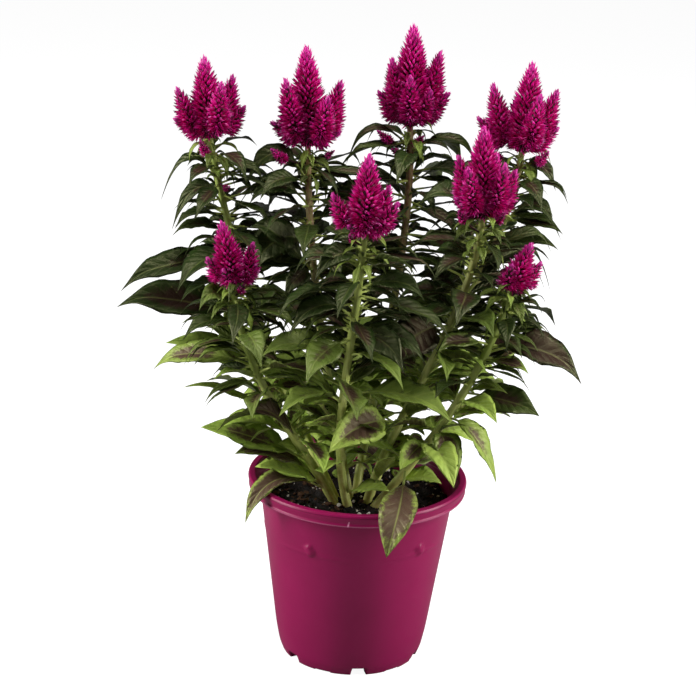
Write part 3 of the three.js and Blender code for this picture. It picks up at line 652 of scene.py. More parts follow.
# A row of keyLeaves is [place on the stem, tip, arch, half width, roll in degrees]. Two more entries may
# follow: its tone as [how fresh, how purple], or None where that follows from the height, and the share of
# the way to the tip at which it bends.
stems = [
    {
        "name": "far_left", "foot": [-11, -8], "bend": [-55, 8, 201], "reach": [-100, 33, 283],
        "top": [-123, 35, 400], "leaves": 29, "turn": 200, "blush": 0.0,
        "tips": [
            [-129, 35, 464], [-149, 30, 440], [-114, 20, 448], [-107, 44, 449],
            [-96, 38, 426], [-152, 34, 414], [-129, 55, 424],
        ],
        "keyLeaves": [
            [0.56, [-190, 12, 279], 4, 17, 38, [0, 0.6]],
            [0.72, [-186, 2, 294], 5, 12, 35],
            [0.82, [-149, 16, 335], 27, 7, 30],
            [0.9, [-160, 40, 352], 24, 6, 20],
            [0.33, [-151, 0, 250], 10, 14, 30, [0.7, 0.2]],
            [0.09, [-58, 38, 143], 9, 14, 10, [0.5, 0.4]],
        ],
    },
    {
        "name": "mid_left", "foot": [-3, -12], "bend": [-24, 15, 207], "reach": [-46, 32, 296],
        "top": [-49, 45, 395], "leaves": 30, "turn": 40, "blush": 0.9,
        "tips": [
            [-53, 42, 474], [-68, 28, 451], [-25, 46, 448], [-34, 24, 440],
            [-79, 38, 414], [-23, 40, 408], [-57, 62, 436],
        ],
        "keyLeaves": [
            [0.9, [-96, 34, 366], 24, 9, 35],
            [0.72, [-92, 4, 300], 22, 15, 40],
            [0.66, [-90, 8, 345], 6, 15, 40],
            [0.84, [-91, 20, 358], 14, 11, 35],
            [0.09, [-24, 60, 143], 8, 14, 0, [0.5, 0.2]],
        ],
    },
    {
        "name": "mid_back", "foot": [-2, -3], "bend": [6, 36, 205], "reach": [37, 62, 302],
        "top": [28, 72, 408], "leaves": 31, "turn": 150, "blush": 1.0,
        "tips": [
            [27, 70, 489], [11, 66, 463], [49, 72, 469], [58, 68, 437],
            [1, 66, 436], [26, 50, 453], [43, 54, 441], [30, 92, 455],
        ],
        "keyLeaves": [
            [0.94, [-20, 58, 390], 16, 5, 20],
            [0.93, [84, 66, 384], 16, 6, -20],
            [0.82, [-40, 36, 343], 10, 12, 30],
            [0.09, [22, 64, 142], 8, 15, 0, [0.3, 0.6]],
        ],
    },
    {
        "name": "far_right", "foot": [7, -3], "bend": [32, 33, 210], "reach": [104, 51, 291],
        "top": [114, 55, 395], "leaves": 30, "turn": 310, "blush": 0.6,
        "tips": [
            [118, 60, 466], [88, 60, 448], [125, 42, 445], [139, 62, 445],
            [142, 56, 416], [77, 58, 421], [107, 76, 432],
        ],
        "keyLeaves": [
            [0.95, [141, 44, 371], 12, 7, -30],
            [0.8, [140, 20, 350], 16, 8, -30],
            [0.82, [36, 20, 366], 10, 11, 30],
            [0.09, [63, 40, 143], 9, 15, -10, [0.2, 0.8]],
        ],
    },
    {
        "name": "right", "foot": [6, -12], "bend": [19, -9, 198], "reach": [79, -19, 274],
        "top": [83, -20, 362], "leaves": 28, "turn": 90, "blush": 0.3,
        "tips": [
            [80, -20, 433], [69, -36, 405], [62, -16, 409], [91, -10, 411],
            [97, -30, 408], [106, -20, 401], [105, -24, 381], [60, -26, 378],
        ],
        "keyLeaves": [
            [0.86, [136, -18, 352], 9, 6, -30],
            [0.72, [140, 14, 318], 26, 9, -20],
            [0.32, [-22, -73, 194], 11, 16, 46, [0.95, 0.75]],
            [0.66, [20, -66, 261], 8, 17, 42, [0, 1]],
            [0.3, [91, -6, 180], 8, 10, -20, [0.9, 0.1]],
            [0.1, [26, -38, 178], 3, 8, 0, [1, 0]],
        ],
    },
    {
        "name": "front", "foot": [-3, -21], "bend": [-27, -26, 185], "reach": [-6, -69, 265],
        "top": [-3, -72, 361], "leaves": 27, "turn": 250, "blush": 0.1,
        "tips": [
            [-2, -72, 421], [-28, -72, 390], [14, -68, 397], [21, -78, 387],
            [-16, -82, 368], [19, -78, 368], [-4, -54, 388],
        ],
        "keyLeaves": [
            [0.7, [30, -92, 268], 9, 11, -38, [0, 0.1]],
            [0.75, [-54, -92, 292], 16, 11, 20],
            [0.84, [42, -88, 322], 9, 10, -25],
            [0.92, [-37, -90, 332], 12, 9, 35],
        ],
    },
    {
        "name": "low_left", "foot": [-11, -17], "bend": [-39, -23, 179], "reach": [-88, -52, 232],
        "top": [-97, -54, 313], "leaves": 22, "turn": 20, "blush": 0.0,
        "tips": [
            [-107, -54, 362], [-83, -52, 346], [-117, -58, 334],
            [-104, -66, 328], [-79, -56, 330], [-100, -40, 342],
        ],
        "keyLeaves": [
            [0.84, [-120, -70, 300], 17, 9, 30],
            [0.44, [-133, -46, 232], 6, 6, 10],
            [0.7, [-157, -30, 241], 10, 11, 35, [0.45, 0.6]],
            [0.26, [-120, -34, 194], 6, 14, 30, [0.85, 0.5]],
            [0.12, [-83, -58, 127], 23, 10, 15, [0.6, 1], 0.72],
            [0.33, [-82, -64, 220], 10, 12, 35, [0.2, 1]],
            [0.18, [-93, -46, 178], 9, 11, 25, [0.4, 0.95]],
        ],
    },
    {
        "name": "low_right", "foot": [6, -21], "bend": [62, -16, 192], "reach": [90, -34, 242],
        "top": [107, -30, 310], "leaves": 18, "turn": 120, "blush": 0.0,
        "tips": [
            [120, -30, 349], [129, -26, 333], [106, -38, 334], [117, -20, 332], [103, -24, 326],
        ],
        "keyLeaves": [
            [0.74, [164, -35, 247], 12, 15, -35, [0, 1]],
            [0.56, [134, -40, 219], 3, 13, -40, [0.05, 0.4]],
            [0.3, [72, -70, 168], 14, 13, 0],
            [0.2, [24, -103, 125], 18, 14, 0, [0.5, 1], 0.9],
            [0.44, [106, -30, 158], 14, 11, -20, [0.65, 0.3]],
            [0.38, [73, -52, 162], 12, 12, 0, [0.4, 0.75]],
        ],
    },
]


def stemPoint(row, at):
    # a cubic Bezier curve from the foot over two control points to the top
    at = np.asarray(at, float)[..., None]
    foot = np.array([*row["foot"], stem["footZ"]], float)
    bend, reach, top = (np.array(row[key], float) for key in ("bend", "reach", "top"))
    rest = 1 - at
    return rest ** 3 * foot + 3 * rest ** 2 * at * bend + 3 * rest * at ** 2 * reach + at ** 3 * top


def stemAhead(row, at):
    return unit(stemPoint(row, np.asarray(at) + 1e-4) - stemPoint(row, np.asarray(at) - 1e-4))


def stemRadiusAt(at):
    return mix(stem["footRadius"], stem["topRadius"], np.asarray(at))


def headAxis(row):
    return unit(np.array(row["tips"][0], float) - np.array(row["top"], float))


# leaves: the same curves, outlines and places as in the solids

leaf = {
    "petiole": 0.22, "stalkHalfWidth": 1.1, "stalkHalfDepth": 0.9, "bladeHalfDepth": 0.2,
    "fold": 0.32, "wave": 0.1, "waveRate": 13, "waveLag": 1.3,
    "stations": 26, "acrossSteps": 8, "smallStations": 12, "smallAcross": 4,
    "ribDepth": 0.75, "ribWidth": 1.1,  # the midrib stands out below and is a furrow above
    "furrowShare": 0.45, "bladeFrom": 0.14, "softFold": 0.1, "stationPower": 0.92,
    # how far the margins ripple and the blade bulges between its veins, as shares of its half width
    "ripple": 0.04, "rippleRate": 37, "quilt": 0.04, "veinCount": 8, "veinSlant": 1.7, "veinWidth": 0.1,
    # low leaves end blunt and flat, high ones slim and hooked, and the narrowest are hooked most
    "tipCurl": (0.02, 0.1), "tipFrom": 0.66, "sway": 0.05, "slimTip": (0.05, 0.45), "slimRange": (0.62, 0.97),
    "highFrom": 170, "highTo": 290, "hookCurl": 0.16, "hookBelow": 0.12,
}

# [place on the stem, length, half width as a share of it, pitch at its start and at its end in degrees]
leafHabit = [
    [0.15, 46, 0.21, 35, -8],
    [0.3, 64, 0.2, 34, -14],
    [0.5, 84, 0.18, 30, -18],
    [0.7, 84, 0.165, 24, -24],
    [0.85, 74, 0.135, 20, -28],
    [1, 54, 0.11, 20, -34],
]

foliage = {
    "seed": 11, "firstLeaf": 0.22, "lastLeaf": 0.97, "crowding": 0.68, "turnPerLeaf": 137.5, "tries": 24,
    "gap": 4.3, "ownGap": 2.8, "ownFree": 0.36, "potGap": 3, "rimGap": 4, "soilGap": 6,
    "stemSlack": 2.6, "spikeSlack": 2, "frontTrim": 0.5,
}
variety = {
    "turn": 0.3, "turnPerTry": 0.3, "length": 0.4, "lengthPerTry": 0.03, "startPitch": 34, "endPitch": 44,
    "roll": 1.2, "phase": 6,
}
samples = {"stem": 36, "spike": 6, "leafAlong": 12, "leafAcross": 2, "leafStart": 0.08}
# how far from the pot's axis a leaf may reach: [height, radius]
reachByHeight = [[125, 74], [152, 84], [200, 126], [260, 148], [330, 154], [400, 154]]

spike = {
    "baseRadius": 5.6, "radiusPerLength": 0.078, "peak": 1.16, "taper": 0.65, "sharpness": 0.64,
    "footShare": 0.78, "footRise": 1.6,
    "rootLow": 0.02, "rootRise": 0.1, "rootOut": 0.5, "fullOutAt": 0.5, "mainShare": 1.12, "headGap": 0.3,
}


def draw(count, kind):
    # a number from 0 to 1 that looks random and is always the same for a leaf and a kind of draw
    wave = math.sin(foliage["seed"] + count * 12.9898 + kind * 78.233) * 43758.5453
    return wave - math.floor(wave)


def bladeOutline(v):
    # half width along the blade, 1 where it is widest
    return 3.64 * np.maximum(v, 0) ** 0.8 * np.maximum(1 - v, 0) ** 1.1


ruledTone = (-1, -1)  # for leaves whose freshness and purple follow from their height


def stackRows(rows):
    # a list of leaves as one dictionary of arrays
    return {key: np.array([row[key] for row in rows], float) for key in rows[0]}


def leafFrame(rows, at):
    # The midrib is a quadratic curve from root over control to tip. The blade stands square to the upright
    # plane through it and is rolled about it. Arrays come out as (leaves, stations, 3), and v is 0 where the
    # blade begins and 1 at its tip.
    root, control, tip = (rows[key][:, None] for key in ("root", "control", "tip"))
    t = at[None, :, None]
    ahead = unit(root * (t - 1) + control * (1 - 2 * t) + tip * t)
    level = unit(np.cross(tip - root, up))
    top = np.cross(level, ahead)
    roll = rows["roll"][:, None, None]
    side = level * np.cos(roll) + top * np.sin(roll)
    normal = top * np.cos(roll) - level * np.sin(roll)
    v = (at - leaf["petiole"]) / (1 - leaf["petiole"])
    return arc(root, control, tip, t), side, normal, v


def bladePoints(centre, side, normal, sideways, rise):
    return centre[:, :, None] + across(sideways, side[:, :, None]) + across(rise, normal[:, :, None])


def leafWave(rows, v, a):
    # how far the margins ripple, as a share of the half width; a is 0 at the midrib and 1 at a margin
    phase = rows["phase"][:, None, None]
    swing = np.sin(phase + v[:, None] * leaf["waveRate"] + np.where(a > 0, leaf["waveLag"], 0))
    return swing * leaf["wave"] * a * a


def leafSamples(row):
    rows = stackRows([row])
    at = mix(samples["leafStart"], 1, np.arange(samples["leafAlong"] + 1) / samples["leafAlong"])
    a = np.arange(-samples["leafAcross"], samples["leafAcross"] + 1) / samples["leafAcross"]
    centre, side, normal, v = leafFrame(rows, at)
    half = np.maximum(leaf["stalkHalfWidth"] * (1 - at), row["half"] * bladeOutline(v))[None, :, None]
    rise = (v > 0)[:, None] * half * (leaf["fold"] * np.abs(a) + leafWave(rows, v, a))
    return np.repeat(at, len(a)), bladePoints(centre, side, normal, half * a, rise).reshape(-1, 3)


def clearOfPot(points):
    z = points[:, 2]
    radius = np.hypot(points[:, 0], points[:, 1])
    overRim = z > pot["height"] + foliage["rimGap"]
    inWall = radius < innerRadiusAt(np.minimum(z, pot["height"])) - foliage["potGap"]
    inside = inWall & (z > soil["level"] + foliage["soilGap"])
    heights, reaches = np.array(reachByHeight, float).T
    return bool(np.all((overRim | inside) & (radius < np.interp(z, heights, reaches))))


class Obstacles:
    # spheres that leaves keep clear of
    def __init__(self):
        self.centres = np.zeros((0, 3))
        self.radii = np.zeros(0)
        self.owners = np.zeros(0, int)

    def add(self, centres, radii, owner):
        self.centres = np.concatenate([self.centres, centres])
        self.radii = np.concatenate([self.radii, np.broadcast_to(radii, len(centres))])
        self.owners = np.concatenate([self.owners, np.full(len(centres), owner)])

    def clear(self, at, points, owner, gap, ownGap):
        reach = gap + self.radii.max()
        near = np.all((self.centres > points.min(0) - reach) & (self.centres < points.max(0) + reach), 1)
        centres, radii, own = self.centres[near], self.radii[near], self.owners[near] == owner
        away = np.linalg.norm(points[:, None] - centres[None], axis=-1)
        least = radii + np.where(own, ownGap, gap)
        free = (at[:, None] < foliage["ownFree"]) & own[None]
        return bool(np.all((away > least) | free))


def keyLeaf(row, count, at, tip, arch, half, roll, tone=None, lean=0.5):
    root, tip = stemPoint(row, at), np.array(tip, float)
    return {
        "root": root, "control": mix(root, tip, lean) + up * arch * 2, "tip": tip, "half": half, "at": at,
        "roll": math.radians(roll), "phase": draw(count, 2) * variety["phase"], "count": count,
        "tone": tone or ruledTone,
    }


def heading(azimuth, pitch):
    # a direction from an azimuth in radians and a pitch in degrees
    rise = math.radians(pitch)
    flat = math.cos(rise)
    return np.array([math.cos(azimuth) * flat, math.sin(azimuth) * flat, math.sin(rise)])


def freeLeaf(row, count, at, azimuth, pitches, length, slimness, roll, phase):
    # a leaf that sets out from the stem at the first pitch and ends at the second
    root = stemPoint(row, at)
    control = root + heading(azimuth, pitches[0]) * length / 2
    return {
        "root": root, "control": control, "tip": control + heading(azimuth, pitches[1]) * length / 2,
        "half": length * slimness, "at": at, "roll": roll * variety["roll"],
        "phase": phase * variety["phase"], "count": count, "tone": ruledTone,
    }


def ruledLeaf(row, at, number, count, attempt):
    def vary(kind):
        return draw(count, kind + attempt * 7) - 0.5

    heights, *columns = np.array(leafHabit).T
    length, slimness, start, end = (np.interp(at, heights, column) for column in columns)
    turned = math.radians(row["turn"] + number * foliage["turnPerLeaf"])
    azimuth = turned + vary(3) * (variety["turn"] + attempt * variety["turnPerTry"])
    reach = length * (1 + vary(4) * variety["length"]) * (1 - attempt * variety["lengthPerTry"])
    reach *= 1 - foliage["frontTrim"] * max(0, -math.sin(azimuth)) * (1 - at)
    pitches = start + vary(5) * variety["startPitch"], end + vary(6) * variety["endPitch"]
    return freeLeaf(row, count, at, azimuth, pitches, reach, slimness, vary(7), draw(count, 2))


def headStart(row):
    return np.array(row["top"], float) + headAxis(row) * spike["headGap"]


def spikeRoot(start, tips, index):
    main = np.array(tips[0], float) - start
    if index == 0:
        return start
    height = (tips[index][2] - start[2]) / main[2]
    outward = np.array(tips[index], float) - start - main * height
    risen = start + main * (spike["rootLow"] + spike["rootRise"] * height)
    return risen + outward * spike["rootOut"] * min(1, height / spike["fullOutAt"])


def spikeRadius(root, tip, index):
    radius = spike["baseRadius"] + spike["radiusPerLength"] * np.linalg.norm(tip - root)
    return radius * spike["mainShare"] if index == 0 else radius


def spikeOutline(s):
    swell = np.minimum(1, spike["footShare"] + spike["footRise"] * s)
    return swell * np.minimum(1, (1 - s) / spike["taper"]) ** spike["sharpness"]


def layFoliage():
    obstacles = Obstacles()
    for owner, row in enumerate(stems):
        at = np.arange(samples["stem"] + 1) / samples["stem"]
        obstacles.add(stemPoint(row, at), stemRadiusAt(at) - foliage["stemSlack"], owner)
        start = headStart(row)
        share = np.arange(samples["spike"] + 1) / samples["spike"]
        for index, tip in enumerate(row["tips"]):
            root, end = spikeRoot(start, row["tips"], index), np.array(tip, float)
            widest = spikeRadius(root, end, index) * spike["peak"]
            radii = widest * spikeOutline(share) - foliage["spikeSlack"]
            obstacles.add(mix(root, end, share[:, None]), radii, owner + len(stems))
    lists = [[] for _ in stems]

    def keep(owner, placed):
        lists[owner].append(placed)
        obstacles.add(leafSamples(placed)[1], 0.0, owner)

    for owner, row in enumerate(stems):
        for i, shape in enumerate(row["keyLeaves"]):
            keep(owner, keyLeaf(row, owner * 10 + i, *shape))
    count = 100
    for owner, row in enumerate(stems):
        for number in range(row["leaves"]):
            share = (number / (row["leaves"] - 1)) ** foliage["crowding"]
            at = mix(foliage["firstLeaf"], foliage["lastLeaf"], share)
            count += 1
            for attempt in range(foliage["tries"]):
                tried = ruledLeaf(row, at, number, count, attempt)
                places, points = leafSamples(tried)
                if clearOfPot(points) and obstacles.clear(
                        places, points, owner, foliage["gap"], foliage["ownGap"]):
                    keep(owner, tried)
                    break
    return lists, obstacles


def leafLift(rows, at, v, a, face, half):
    # How far the rings stand off the midrib's plane: a folded blade with rippled margins that bulges between
    # its veins, a midrib that is a furrow above and a rib below, and half the thickness up or down.
    margin = np.abs(a)
    blade = ease(0.0, leaf["bladeFrom"], v)[None, :, None]
    size = rows["half"][:, None, None]
    ripple = np.sin(rows["phase"][:, None, None] * 3 + v[:, None] * leaf["rippleRate"] + a)
    swing = leafWave(rows, v, a) + leaf["ripple"] * a * a * ripple
    fold = leaf["fold"] * (np.sqrt(a * a + leaf["softFold"] ** 2) - leaf["softFold"])
    veinPlace = v[:, None] * leaf["veinCount"] - margin ** 0.8 * leaf["veinSlant"]
    bulge = np.abs(np.sin(math.pi * veinPlace)) ** 0.8 * np.sin(math.pi * np.clip(margin, 0, 1)) ** 0.7
    rise = blade * (half * (fold + swing) + size * leaf["quilt"] * bulge * ease(1.0, 0.75, v)[:, None])
    rib = np.exp(-(half * a / leaf["ribWidth"]) ** 2) * blade * (1 - v[:, None]) * np.minimum(size / 14, 1.2)
    rib = rib * leaf["ribDepth"] * np.where(face > 0, leaf["furrowShare"], 1.0)
    stalk = leaf["stalkHalfDepth"] * (1 - at * 0.6)[None, :, None]
    thickness = mix(stalk, leaf["bladeHalfDepth"], blade) * np.sqrt(np.clip(1 - a * a, 0, 1))
    return rise + face * thickness - rib


def leafTones(rows):
    # how fresh a leaf's green is, its own random tone, and how much purple it carries
    height = rows["root"][:, 2]
    own = np.array([draw(count, 21) for count in rows["count"]])
    other = np.array([draw(count, 22) for count in rows["count"]])
    calm = 1 - 0.75 * ease(240, 320, height)
    fresh = np.clip(1.1 - 1.15 * ease(165, 290, height) + (own - 0.5) * 0.9 * calm, 0, 1)
    purple = np.clip(other * 1.5 - 0.7, 0, 1)
    given = rows["tone"]
    fresh, purple = np.where(given[:, 0] < 0, [fresh, purple], given.T)
    return np.stack([fresh, own, purple], -1)


def leafTubes(rows, stations, steps):
    # a leaf as a closed tube: each ring runs over the upper face from one margin to the other and back below
    at = (np.linspace(0, 1, stations + 1) ** leaf["stationPower"])[:-1]
    centre, side, normal, v = leafFrame(rows, at)
    upper = np.arange(steps + 1) / steps * 2 - 1
    a = np.concatenate([upper, upper[-2:0:-1]])
    face = np.concatenate([np.ones(steps + 1), -np.ones(steps - 1)])
    high = ease(leaf["highFrom"], leaf["highTo"], rows["root"][:, 2])
    length = np.linalg.norm(rows["tip"] - rows["root"], axis=1)
    narrow = rows["half"] / length < leaf["hookBelow"]
    hook = length * (mix(*leaf["tipCurl"], high) + leaf["hookCurl"] * narrow * high)
    slim = mix(*leaf["slimTip"], high)[:, None] * ease(*leaf["slimRange"], v)
    half = rows["half"][:, None] * bladeOutline(v) * (1 - slim)
    half = np.maximum(leaf["stalkHalfWidth"] * (1 - at), half)[:, :, None]
    curl = (np.maximum(v - leaf["tipFrom"], 0) / (1 - leaf["tipFrom"])) ** 2
    sway = (np.sin(rows["phase"] * 5) * leaf["sway"] * length)[:, None] * np.sin(math.pi * at)
    level = unit(np.cross(rows["tip"] - rows["root"], up))[:, None]
    middle = centre - across(curl * hook[:, None], up) + across(sway, level)
    grid = bladePoints(middle, side, normal, half * a, leafLift(rows, at, v, a, face, half))
    place = stackValues(grid.shape[:3], a, v[:, None], (1 - face) / 2)
    ends = [stackValues(len(grid), 0.0, value, 0.0) for value in (-0.2, 1.0)]
    tones = np.repeat(leafTones(rows), len(at) * len(a) + 2, 0)
    values = {"leafPlace": stackTubes(place, *ends), "leafTone": tones}
    return tubes(grid, rows["root"], rows["tip"] - across(hook, up), values)


leafColours = {
    "fresh": "c8de68", "freshDeep": "82a43c", "dark": "22350f", "darkDeep": "0f1707", "blotch": "2e1718",
    "freshBlotch": "5c2c40", "vein": "b4c46c", "midrib": "b6c468", "under": "8a9950", "underDark": "333f1c",
    "underPurple": "3b2320", "specular": 0.44, "sheen": (1.0, 0.96, 0.5, 1),
}


def leafMaterial():
    colours = leafColours
    material, tree, shader = startMaterial("celosiaLeaf", colours["specular"])
    shader.inputs["Specular Tint"].default_value = colours["sheen"]
    a, v, under = readVector(tree, "leafPlace")
    fresh, own, purple = readVector(tree, "leafTone")
    side, midrib, quilt = useGroup(
        tree, veins, across=a, along=v,
        count=leaf["veinCount"], slant=leaf["veinSlant"], width=leaf["veinWidth"])
    patches = mottled(tree, 60.0, 5.0, 0.3, 0.7)
    spots = mottled(tree, 420.0, 3.0, 0.35, 0.65)
    shade = calc(tree, "MULTIPLY_ADD", patches, 0.6, times(tree, own, 0.4))
    green = blend(tree, shade, colours["fresh"], colours["freshDeep"])
    dark = blend(tree, shade, colours["dark"], colours["darkDeep"])
    tone = blend(tree, fresh, dark, green)
    margin = calc(tree, "ABSOLUTE", a)
    # the purple blotch spreads from the middle of the blade and is broken up by blurred spots
    middle = times(tree, spread(tree, margin, 0.1, 0.95, 1.0, 0.0), spread(tree, v, 0.0, 0.35))
    middle = times(tree, middle, spread(tree, v, 0.5, 0.95, 1.0, 0.0))
    broken = calc(tree, "ADD", times(tree, patches, 0.5), times(tree, spots, 0.3))
    grown = calc(tree, "ADD", times(tree, middle, 0.8), times(tree, purple, 0.95))
    blotch = spread(tree, calc(tree, "ADD", grown, broken), 1.15, 1.6)
    stain = blend(tree, fresh, colours["blotch"], colours["freshBlotch"])
    tone = blend(tree, times(tree, blotch, 0.9), tone, stain)
    # pale veins and midrib, fainter on dark leaves and where the blotch covers them
    plain = calc(tree, "MULTIPLY_ADD", blotch, -0.8, 1.0)
    pale = times(tree, side, calc(tree, "MULTIPLY_ADD", fresh, 0.24, 0.03))
    tone = blend(tree, times(tree, pale, plain), tone, colours["vein"])
    ribShare = times(tree, midrib, calc(tree, "MULTIPLY_ADD", fresh, 0.45, 0.12))
    tone = blend(tree, ribShare, tone, colours["midrib"])
    # the paler underside, and the stalk in the midrib's colour
    below = blend(tree, fresh, colours["underDark"], colours["under"])
    below = blend(tree, purple, below, colours["underPurple"])
    below = blend(tree, times(tree, side, 0.3), below, colours["vein"])
    tone = blend(tree, times(tree, under, 0.8), tone, below)
    tone = blend(tree, spread(tree, v, -0.06, 0.03, 1.0, 0.0), tone, colours["midrib"])
    height = calc(tree, "ADD", times(tree, spots, 0.3), times(tree, quilt, 0.6))
    dress(tree, shader, tone, spread(tree, spots, 0.0, 1.0, 0.3, 0.5), height, 0.75, 0.9)
    return material


# young leaves from the axils: places along the stem, lengths, half widths as shares of them, and pitches
sideLeaf = {
    "perStem": 72, "first": 0.36, "last": 0.99, "length": (22, 56), "slimness": (0.12, 0.19),
    "startPitch": (0, 70), "endPitch": (-60, 15), "gap": 1.6, "ownGap": 1.2, "turn": 41, "tries": 3,
}
lowLeaf = {
    "perStem": 12, "first": 0.1, "last": 0.4, "length": (36, 70), "slimness": (0.19, 0.27),
    "startPitch": (25, 62), "endPitch": (-38, 12), "gap": 2.0, "ownGap": 1.4, "turn": 10, "tries": 8,
}
hookedLeaf = {
    "perStem": 46, "first": 0.64, "last": 0.975, "length": (38, 72), "slimness": (0.075, 0.118),
    "startPitch": (-22, 34), "endPitch": (-42, 18), "gap": 1.4, "ownGap": 1.0, "turn": 95, "tries": 6,
}
# a small leaf points no nearer to the front than frontLimit, and is shorter up the stem and by each try
smallHabit = {"frontLimit": 0.6, "swing": 2, "longest": 1.15, "shorterUp": 0.5, "shorterByTry": 0.1}
collar = {
    "count": 26, "first": 0.9, "last": 0.995, "length": (10, 38), "slimness": (0.08, 0.13),
    "pitch": (-20, 50), "pitchUp": 15, "pitchDown": 75, "fresh": (0.1, 0.55),
}


def smallLeaf(row, count, at, azimuth, pitches, length, habit):
    slimness = mix(*habit["slimness"], draw(count, 4))
    roll, phase = draw(count, 5) - 0.5, draw(count, 6)
    return freeLeaf(row, count, at, azimuth, pitches, length, slimness, roll, phase)


def laySmallLeaves(obstacles):
    # young leaves from the axils all up each stem, then a collar of narrow ones under each head
    lists = [[] for _ in stems]
    count = 1000

    def tryLeaf(owner, habit, number, count, attempt):
        row = stems[owner]
        at = mix(habit["first"], habit["last"], (number + draw(count, 1)) / habit["perStem"])
        turned = math.radians(row["turn"] + habit["turn"]) + number * goldenAngle
        azimuth = turned + draw(count, 2) * smallHabit["swing"]
        share = draw(count, 3) * (smallHabit["longest"] - smallHabit["shorterUp"] * at)
        length = mix(*habit["length"], share) * (1 - smallHabit["shorterByTry"] * attempt)
        pitches = mix(*habit["startPitch"], draw(count, 7)), mix(*habit["endPitch"], draw(count, 8))
        tried = smallLeaf(row, count, at, azimuth, pitches, length, habit)
        places, points = leafSamples(tried)
        if -math.sin(azimuth) < smallHabit["frontLimit"] and clearOfPot(points) and obstacles.clear(
                places, points, owner, habit["gap"], habit["ownGap"]):
            lists[owner].append(tried)
            obstacles.add(points, 0.0, owner)
            return True
        return False

    for habit in (lowLeaf, hookedLeaf, sideLeaf):
        for owner in range(len(stems)):
            for number in range(habit["perStem"]):
                for attempt in range(habit["tries"]):
                    count += 1
                    if tryLeaf(owner, habit, number, count, attempt):
                        break
    for owner, row in enumerate(stems):
        for number in range(collar["count"]):
            count += 1
            at = mix(collar["first"], collar["last"], number / collar["count"])
            azimuth = number * goldenAngle + owner
            length = mix(*collar["length"], draw(count, 3))
            pitch = mix(*collar["pitch"], draw(count, 7))
            pitches = pitch + collar["pitchUp"], pitch - collar["pitchDown"]
            bract = smallLeaf(row, count, at, azimuth, pitches, length, collar)
            bract["tone"] = (mix(*collar["fresh"], draw(count, 9)), 0)
            lists[owner].append(bract)
    return lists


def buildLeaves():
    bigLists, obstacles = layFoliage()
    smallLists = laySmallLeaves(obstacles)
    material = leafMaterial()
    for row, big, small in zip(stems, bigLists, smallLists):
        parts = [
            leafTubes(stackRows(big), leaf["stations"], leaf["acrossSteps"]),
            leafTubes(stackRows(small), leaf["smallStations"], leaf["smallAcross"]),
        ]
        addPiece("leaves_" + row["name"], parts, material, ["leafy_stem_" + row["name"]])
    return bigLists


leafLists = buildLeaves()
print("leaves made:", sum(map(len, leafLists)), "large")


stalkColours = {
    "green": "dee688", "deepGreen": "c2ce68", "upper": "9aaa50", "red": "9a6c4e", "beige": "b89c74",
    # furrow is painted shade: the hollows between the ribs are darkened as if shaded
    "foot": "b89c5a", "furrow": "9eae54", "specular": 0.4,
}


def stalkMaterial():
    colours = stalkColours
    material, tree, shader = startMaterial("ribbedStalk", colours["specular"])
    ribs, height, blush = readVector(tree, "stalkPlace")
    patches = mottled(tree, 90.0, 4.0, 0.35, 0.65)
    green = blend(tree, patches, colours["green"], colours["deepGreen"])
    green = blend(tree, spread(tree, height, 0.45, 0.8), green, colours["upper"])
    red = blend(tree, patches, colours["red"], colours["beige"])
    tone = blend(tree, times(tree, spread(tree, height, 0.35, 0.8), blush), green, red)
    tone = blend(tree, spread(tree, height, 0.0, 0.14, 0.5, 0.0), tone, colours["foot"])
    # painted shade in the furrows between the ribs
    furrow = times(tree, spread(tree, ribs, 0.0, 0.5, 1.0, 0.0), 0.4)
    tone = blend(tree, furrow, tone, colours["furrow"])
    dress(tree, shader, tone, spread(tree, patches, 0.0, 1.0, 0.42, 0.6), patches, 0.25, 0.3)
    return material


def buildStalks():
    # a ribbed tube along each stem's curve, swollen where a leaf leaves it
    material = stalkMaterial()
    at = np.linspace(0, 1, stem["rings"])
    angle = turns(stem["sides"])
    ribs = np.cos(stem["ribs"] * angle + at[:, None] * stem["ribTwist"])
    for row, big in zip(stems, leafLists):
        centre = stemPoint(row, at)
        side, other = crossDirections(stemAhead(row, at))
        length = np.linalg.norm(np.diff(centre, axis=0), axis=1).sum()
        joints = np.array([placed["at"] for placed in big])
        away = (at[:, None] - joints[None]) * length / stem["jointReach"]
        swell = 1 + stem["jointSwell"] * np.exp(-away ** 2).sum(1).clip(0, stem["jointLimit"])
        radius = (stemRadiusAt(at) * swell)[:, None] * (1 + stem["ribDepth"] * ribs)
        grid = (centre[:, None] + across(radius, roundAbout(angle, side[:, None], other[:, None])))[None]
        place = stackValues(ribs.shape, ribs * 0.5 + 0.5, at[:, None], row["blush"])
        ends = [stackValues(1, 0.5, value, row["blush"]) for value in (0.0, 1.0)]
        values = {"stalkPlace": stackTubes(place[None], *ends)}
        part = tubes(grid, centre[:1], centre[-1:] + headAxis(row) * stem["intoHead"], values)
        addPiece("stalk_" + row["name"], [part], material, ["leafy_stem_" + row["name"]])


buildStalks()
print("stalks made")
